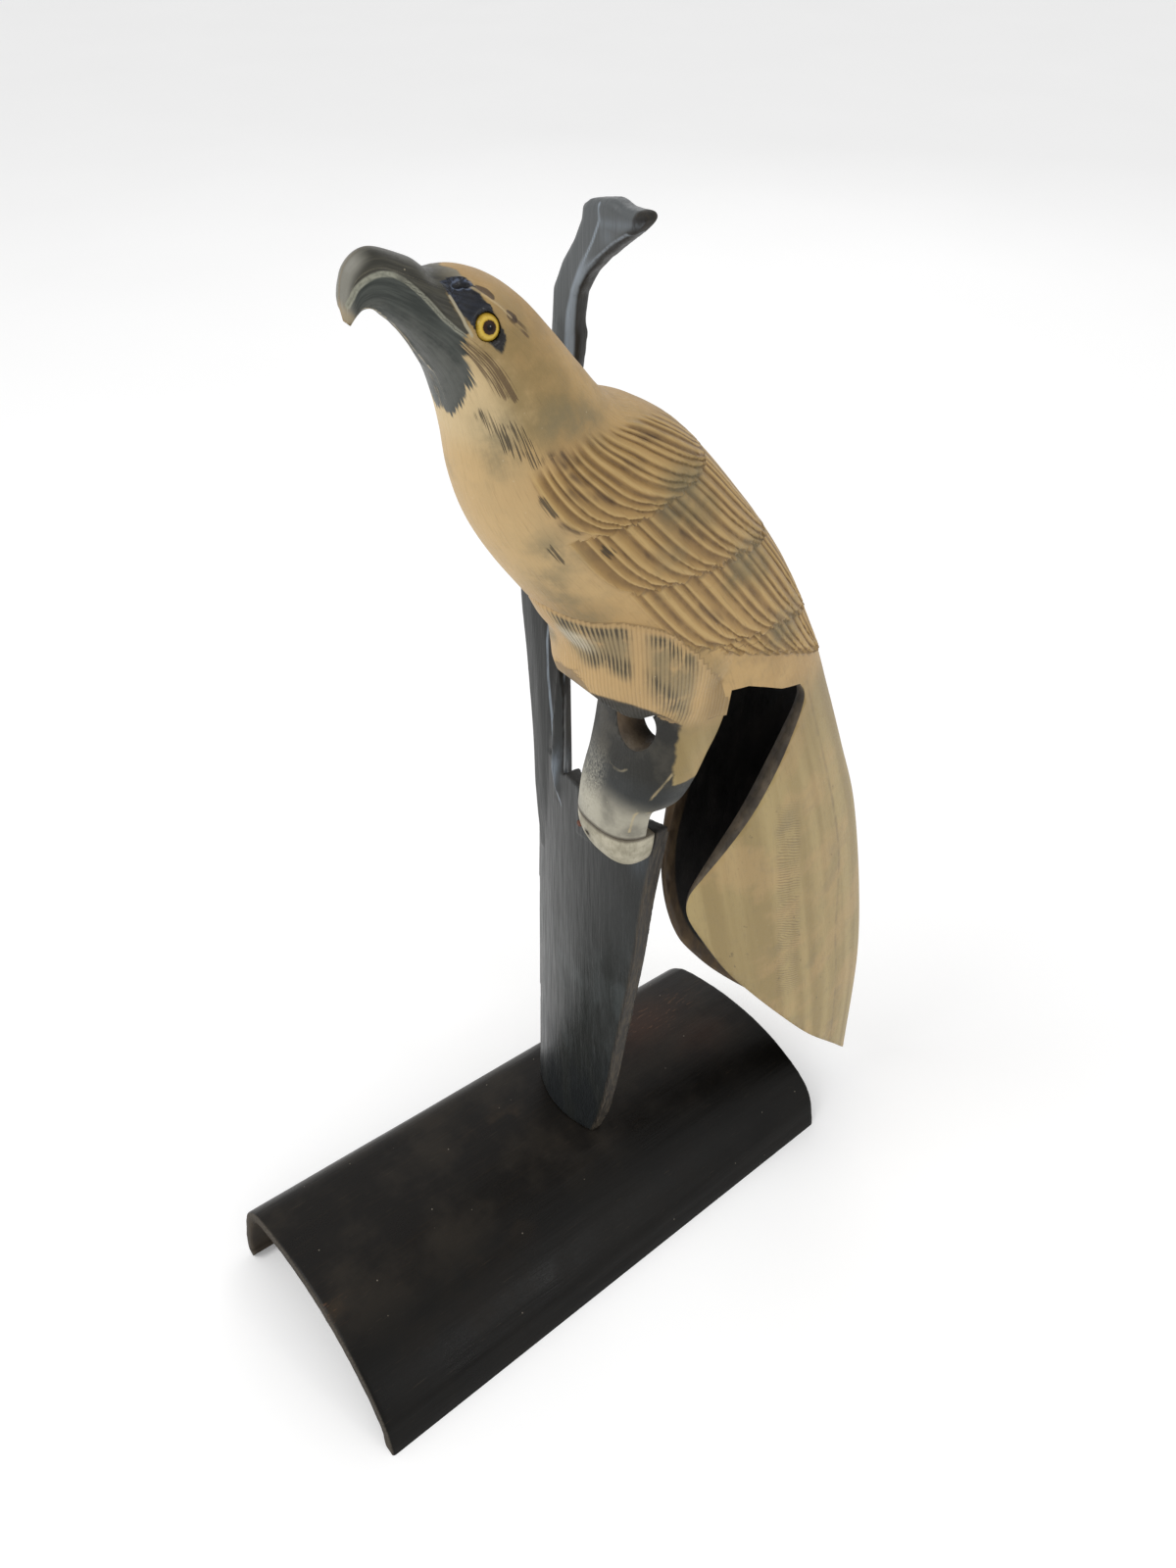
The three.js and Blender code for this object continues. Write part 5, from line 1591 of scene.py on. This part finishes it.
def plate_ends(y, z):
    """Where the plate ends along X, in front and at the rear."""
    side = y / PLATE_WIDEST
    middle = 1 - side**2
    front = PLATE_FRONT_END - PLATE_FRONT_SLANT / 2 * side - PLATE_END_DISH * middle
    worn = PLATE_CORNER * smoothstep(side, 0.6, 1)
    rear = PLATE_REAR_END - PLATE_REAR_SLANT / 2 * side - PLATE_REAR_BULGE * middle + worn
    return front + PLATE_END_LEAN * z, rear + PLATE_END_LEAN * z


def warped(x, section):
    """The section's Y and Z at X: the plate widens forwards and sinks a little at the rear."""
    behind = np.maximum(PLATE_DROP_START - x, 0) / (PLATE_DROP_START - PLATE_REAR_END)
    y = section[:, 0] * (1 + PLATE_TAPER * x / PLATE_FRONT_END)
    return y, section[:, 1] * (1 - PLATE_REAR_DROP * behind)


def build_plate():
    """The arched plate with its rounded, slanting ends, its wear and its coloured places."""
    steps = 150
    section = plate_section(steps)
    n = len(section)
    half = (section[:steps] + section[steps:][::-1]) / 2
    middle_line = np.concatenate([half, half[::-1]])
    shares = [0, 0.0012, 0.003, *np.linspace(0.006, 0.994, 190), 0.997, 0.9988, 1]
    insets = [*PLATE_ROUNDING, *[1.0] * 190, *PLATE_ROUNDING[::-1]]
    rings = []
    for share, inset in zip(shares, insets):
        shape = middle_line + (section - middle_line) * inset
        x = np.full(n, -120 + 250 * share)
        for _ in range(3):
            front, rear = plate_ends(*warped(x, shape))
            x = rear + (front - rear) * share
        rings.append(np.stack([x, *warped(x, shape)], 1))
    i = np.arange(steps - 1)
    caps = np.concatenate([np.stack([i, i + 1, n - 2 - i], 1), np.stack([i, n - 2 - i, n - 1 - i], 1)])
    plate = capped_loft("arched_plinth", rings, caps)
    p = points_of(plate)
    x, y, z = p.T
    wear = 0.1 * value_noise(p * [0.05, 1, 1], size=3.0, seed=11)
    wear += 0.22 * value_noise(p, size=24.0, seed=13) - 0.2
    wear = wear * smoothstep(z, 1.5, 6) * smoothstep(np.hypot(x + 15, y + 17), 28, 34)
    chips = 0.5 * np.maximum(value_noise(p, size=5.0, seed=17) - 0.55, 0)
    front, rear = plate_ends(y, z)
    end_distance = np.minimum(front - x, x - rear)
    wear -= chips * smoothstep(3 - end_distance, 0, 3)
    set_points(plate, p + normals_of(plate) * wear[:, None])

    def blots(places):
        return np.maximum.reduce(
            [much * bell((x - at_x) / long, (y - at_y) / wide) for much, at_x, at_y, wide, long in places]
        )

    store(plate, {
        "end": smoothstep(0.7 - end_distance, 0.0, 0.6),
        "under": np.tile(np.repeat([0, 1], steps), len(rings)),
        "brown": blots(BROWN_BLOTS),
        "nicks": blots(NICKED_PLACES),
        "reddish": blots(REDDISH_BLOTS),
    })
    return plate


def build_toe():
    """The block under the foot, with its nail hole."""
    levels = [(z - GAP, front, 2 * TOE_BACK - front, y, half) for z, front, y, half in TOE_LEVELS]
    toe = loft("nailed_toe_piece", block_rings(levels, points=128, steps=60))
    low, high = FOOT_BOTTOM - CUT_REACH, FOOT_BOTTOM + CUT_REACH
    behind = [(-60, low), (TOE_BACK, low), (TOE_BACK, high), (-60, high)]
    x, y, z, radius, depth = NAIL_HOLE
    combine(toe, loft("slab_room", slab_rings(GAP, 30, steps=30, across=40)), "DIFFERENCE")
    combine(toe, block("behind", 1, behind, BIRD_SIDE - CUT_REACH, BIRD_SIDE + CUT_REACH), "DIFFERENCE")
    combine(toe, rod("hole", x - depth / 2, x + depth / 2, y, z, radius, roughness=0.25), "DIFFERENCE")
    store(toe, {"nail": np.hypot(*(points_of(toe)[:, 1:] - [y, z]).T)})
    return toe


def rod(name, from_x, to_x, y, z, radius, roughness):
    """A round rod along X with an uneven skin."""
    turn = turns(24)
    places = np.linspace(from_x, to_x, 12)
    rings = []
    for i, x in enumerate(places):
        reach = radius * (1 + roughness * 0.5 * np.sin(3 * turn + i) * np.sin(2 * turn + 0.7 * i))
        if i in (0, len(places) - 1):
            reach = reach * 0.75
        ring = np.stack([y + reach * np.cos(turn), z + reach * np.sin(turn)], 1)
        rings.append(np.insert(ring, 0, x, axis=1))
    return loft(name, rings)


def build_pin():
    """The end of the rusty pin, which stands a little proud of the slab's dished face."""
    y, z, radius, length, proud = PIN
    _, left, right, sag = SLAB_LEVELS[-1]
    side = (y - (left + right) / 2) / ((right - left) / 2)
    face = SLAB_FRONT - sag * side**2 + proud
    return rod("rusty_nail_end", face - length + GAP, face, y, z, radius, roughness=0.3)


def build_eye(name, side):
    """A glass eye whose points know their distance from its axis, which looks straight out of the head."""
    centre = np.array([EYE["x"], BIRD_SIDE + side * EYE["aside"], EYE["z"]])
    eye = ball(name, centre, [EYE["radius"] - EYE_PLAY] * 3, around=96, levels=64)
    u, angle = HORN.locate(centre[None, :] + [[0, side * 2.0, 0]])
    axis = horn_normals(RIBS, u, angle)[0]
    p = points_of(eye) - centre
    out = p @ axis
    off = p - out[:, None] * axis
    upward = np.cross(axis, [1.0, 0, 0])
    store(eye, {
        "off_axis": np.where(out > 0, np.linalg.norm(off, axis=1), 6.0),
        "turn": np.arctan2(off @ upward, off @ np.cross(axis, upward)),
    })
    return eye


def place_camera():
    """The camera that was fitted to the photograph."""
    camera = bpy.data.objects.new("camera", bpy.data.cameras.new("camera"))
    bpy.context.scene.collection.objects.link(camera)
    turn, tilt = math.radians(CAMERA_TURN), math.radians(CAMERA_TILT)
    right = Vector((-math.cos(turn), math.sin(turn), 0))
    away = Vector((-math.sin(turn), -math.cos(turn), 0))
    upright = Vector((0, 0, 1))
    up = math.sin(tilt) * away + math.cos(tilt) * upright
    backward = -(math.cos(tilt) * away - math.sin(tilt) * upright)
    matrix = Matrix((right, up, backward)).transposed().to_4x4()
    matrix.translation = Vector(to_world(CAMERA_PLACE))
    camera.matrix_world = matrix
    camera.data.lens = CAMERA_LENS
    camera.data.sensor_width = SENSOR_WIDTH
    camera.data.sensor_fit = "AUTO"
    camera.data.clip_start = 0.01
    bpy.context.scene.camera = camera


def area_light(name, place, size, power):
    light = bpy.data.lights.new(name, "AREA")
    light.shape = "SQUARE"
    light.size = size
    light.energy = power
    obj = bpy.data.objects.new(name, light)
    bpy.context.scene.collection.objects.link(obj)
    obj.location = place
    obj.rotation_euler = (Vector(LIT_PLACE) - Vector(place)).to_track_quat("-Z", "Y").to_euler()


def build_stage():
    """The lights, the pale floor and the white surroundings of a studio."""
    for light in LIGHTS:
        area_light(*light)
    reach = FLOOR_REACH
    corners = [(-reach, -reach, 0), (reach, -reach, 0), (reach, reach, 0), (-reach, reach, 0)]
    floor = new_mesh("floor", corners, [(0, 1, 2, 3)])
    f = Finish("pale_floor", 0.1)
    cloud = f.noise(f.place, 0.004, 2)
    f.set(f.shader, {"Emission Color": (255, 255, 255), "Emission Strength": 0.16})
    colour = f.mix(cloud, (244, 244, 244), (248, 248, 248))
    floor.data.materials.append(f.finish(colour, 0.85, cloud, 0.1))
    world = bpy.data.worlds.new("world")
    bpy.context.scene.world = world
    world.use_nodes = True
    background = world.node_tree.nodes["Background"]
    background.inputs["Color"].default_value = (1, 1, 1, 1)
    background.inputs["Strength"].default_value = WHITE_AROUND


def stand_for(obj, node, finish):
    """Gives a piece its finish and body, and lets it stand for its solid."""
    if finish:
        obj.data.materials.clear()
        obj.data.materials.append(finish)
    obj.data.shade_smooth()
    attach(obj, "root")
    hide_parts(node)


HORN = Horn()
SKIN, CUT, HOLLOW = horn_finish(), cut_finish(), hollow_finish()
bird = build_bird()
paint_bird(bird)
stand_for(bird, "bird", None)
stand_for(build_branch(), "branch", branch_finish())
stand_for(build_plate(), "base_plate", plate_finish())
stand_for(build_toe(), "toe_piece", toe_finish())
glass = eye_finish()
stand_for(build_eye("glass_eye_left", 1), "eye_left", glass)
stand_for(build_eye("glass_eye_right", -1), "eye_right", glass)
stand_for(build_pin(), "rusty_pin", rust_finish())
place_camera()
build_stage()
bpy.context.scene.view_settings.view_transform = "Standard"
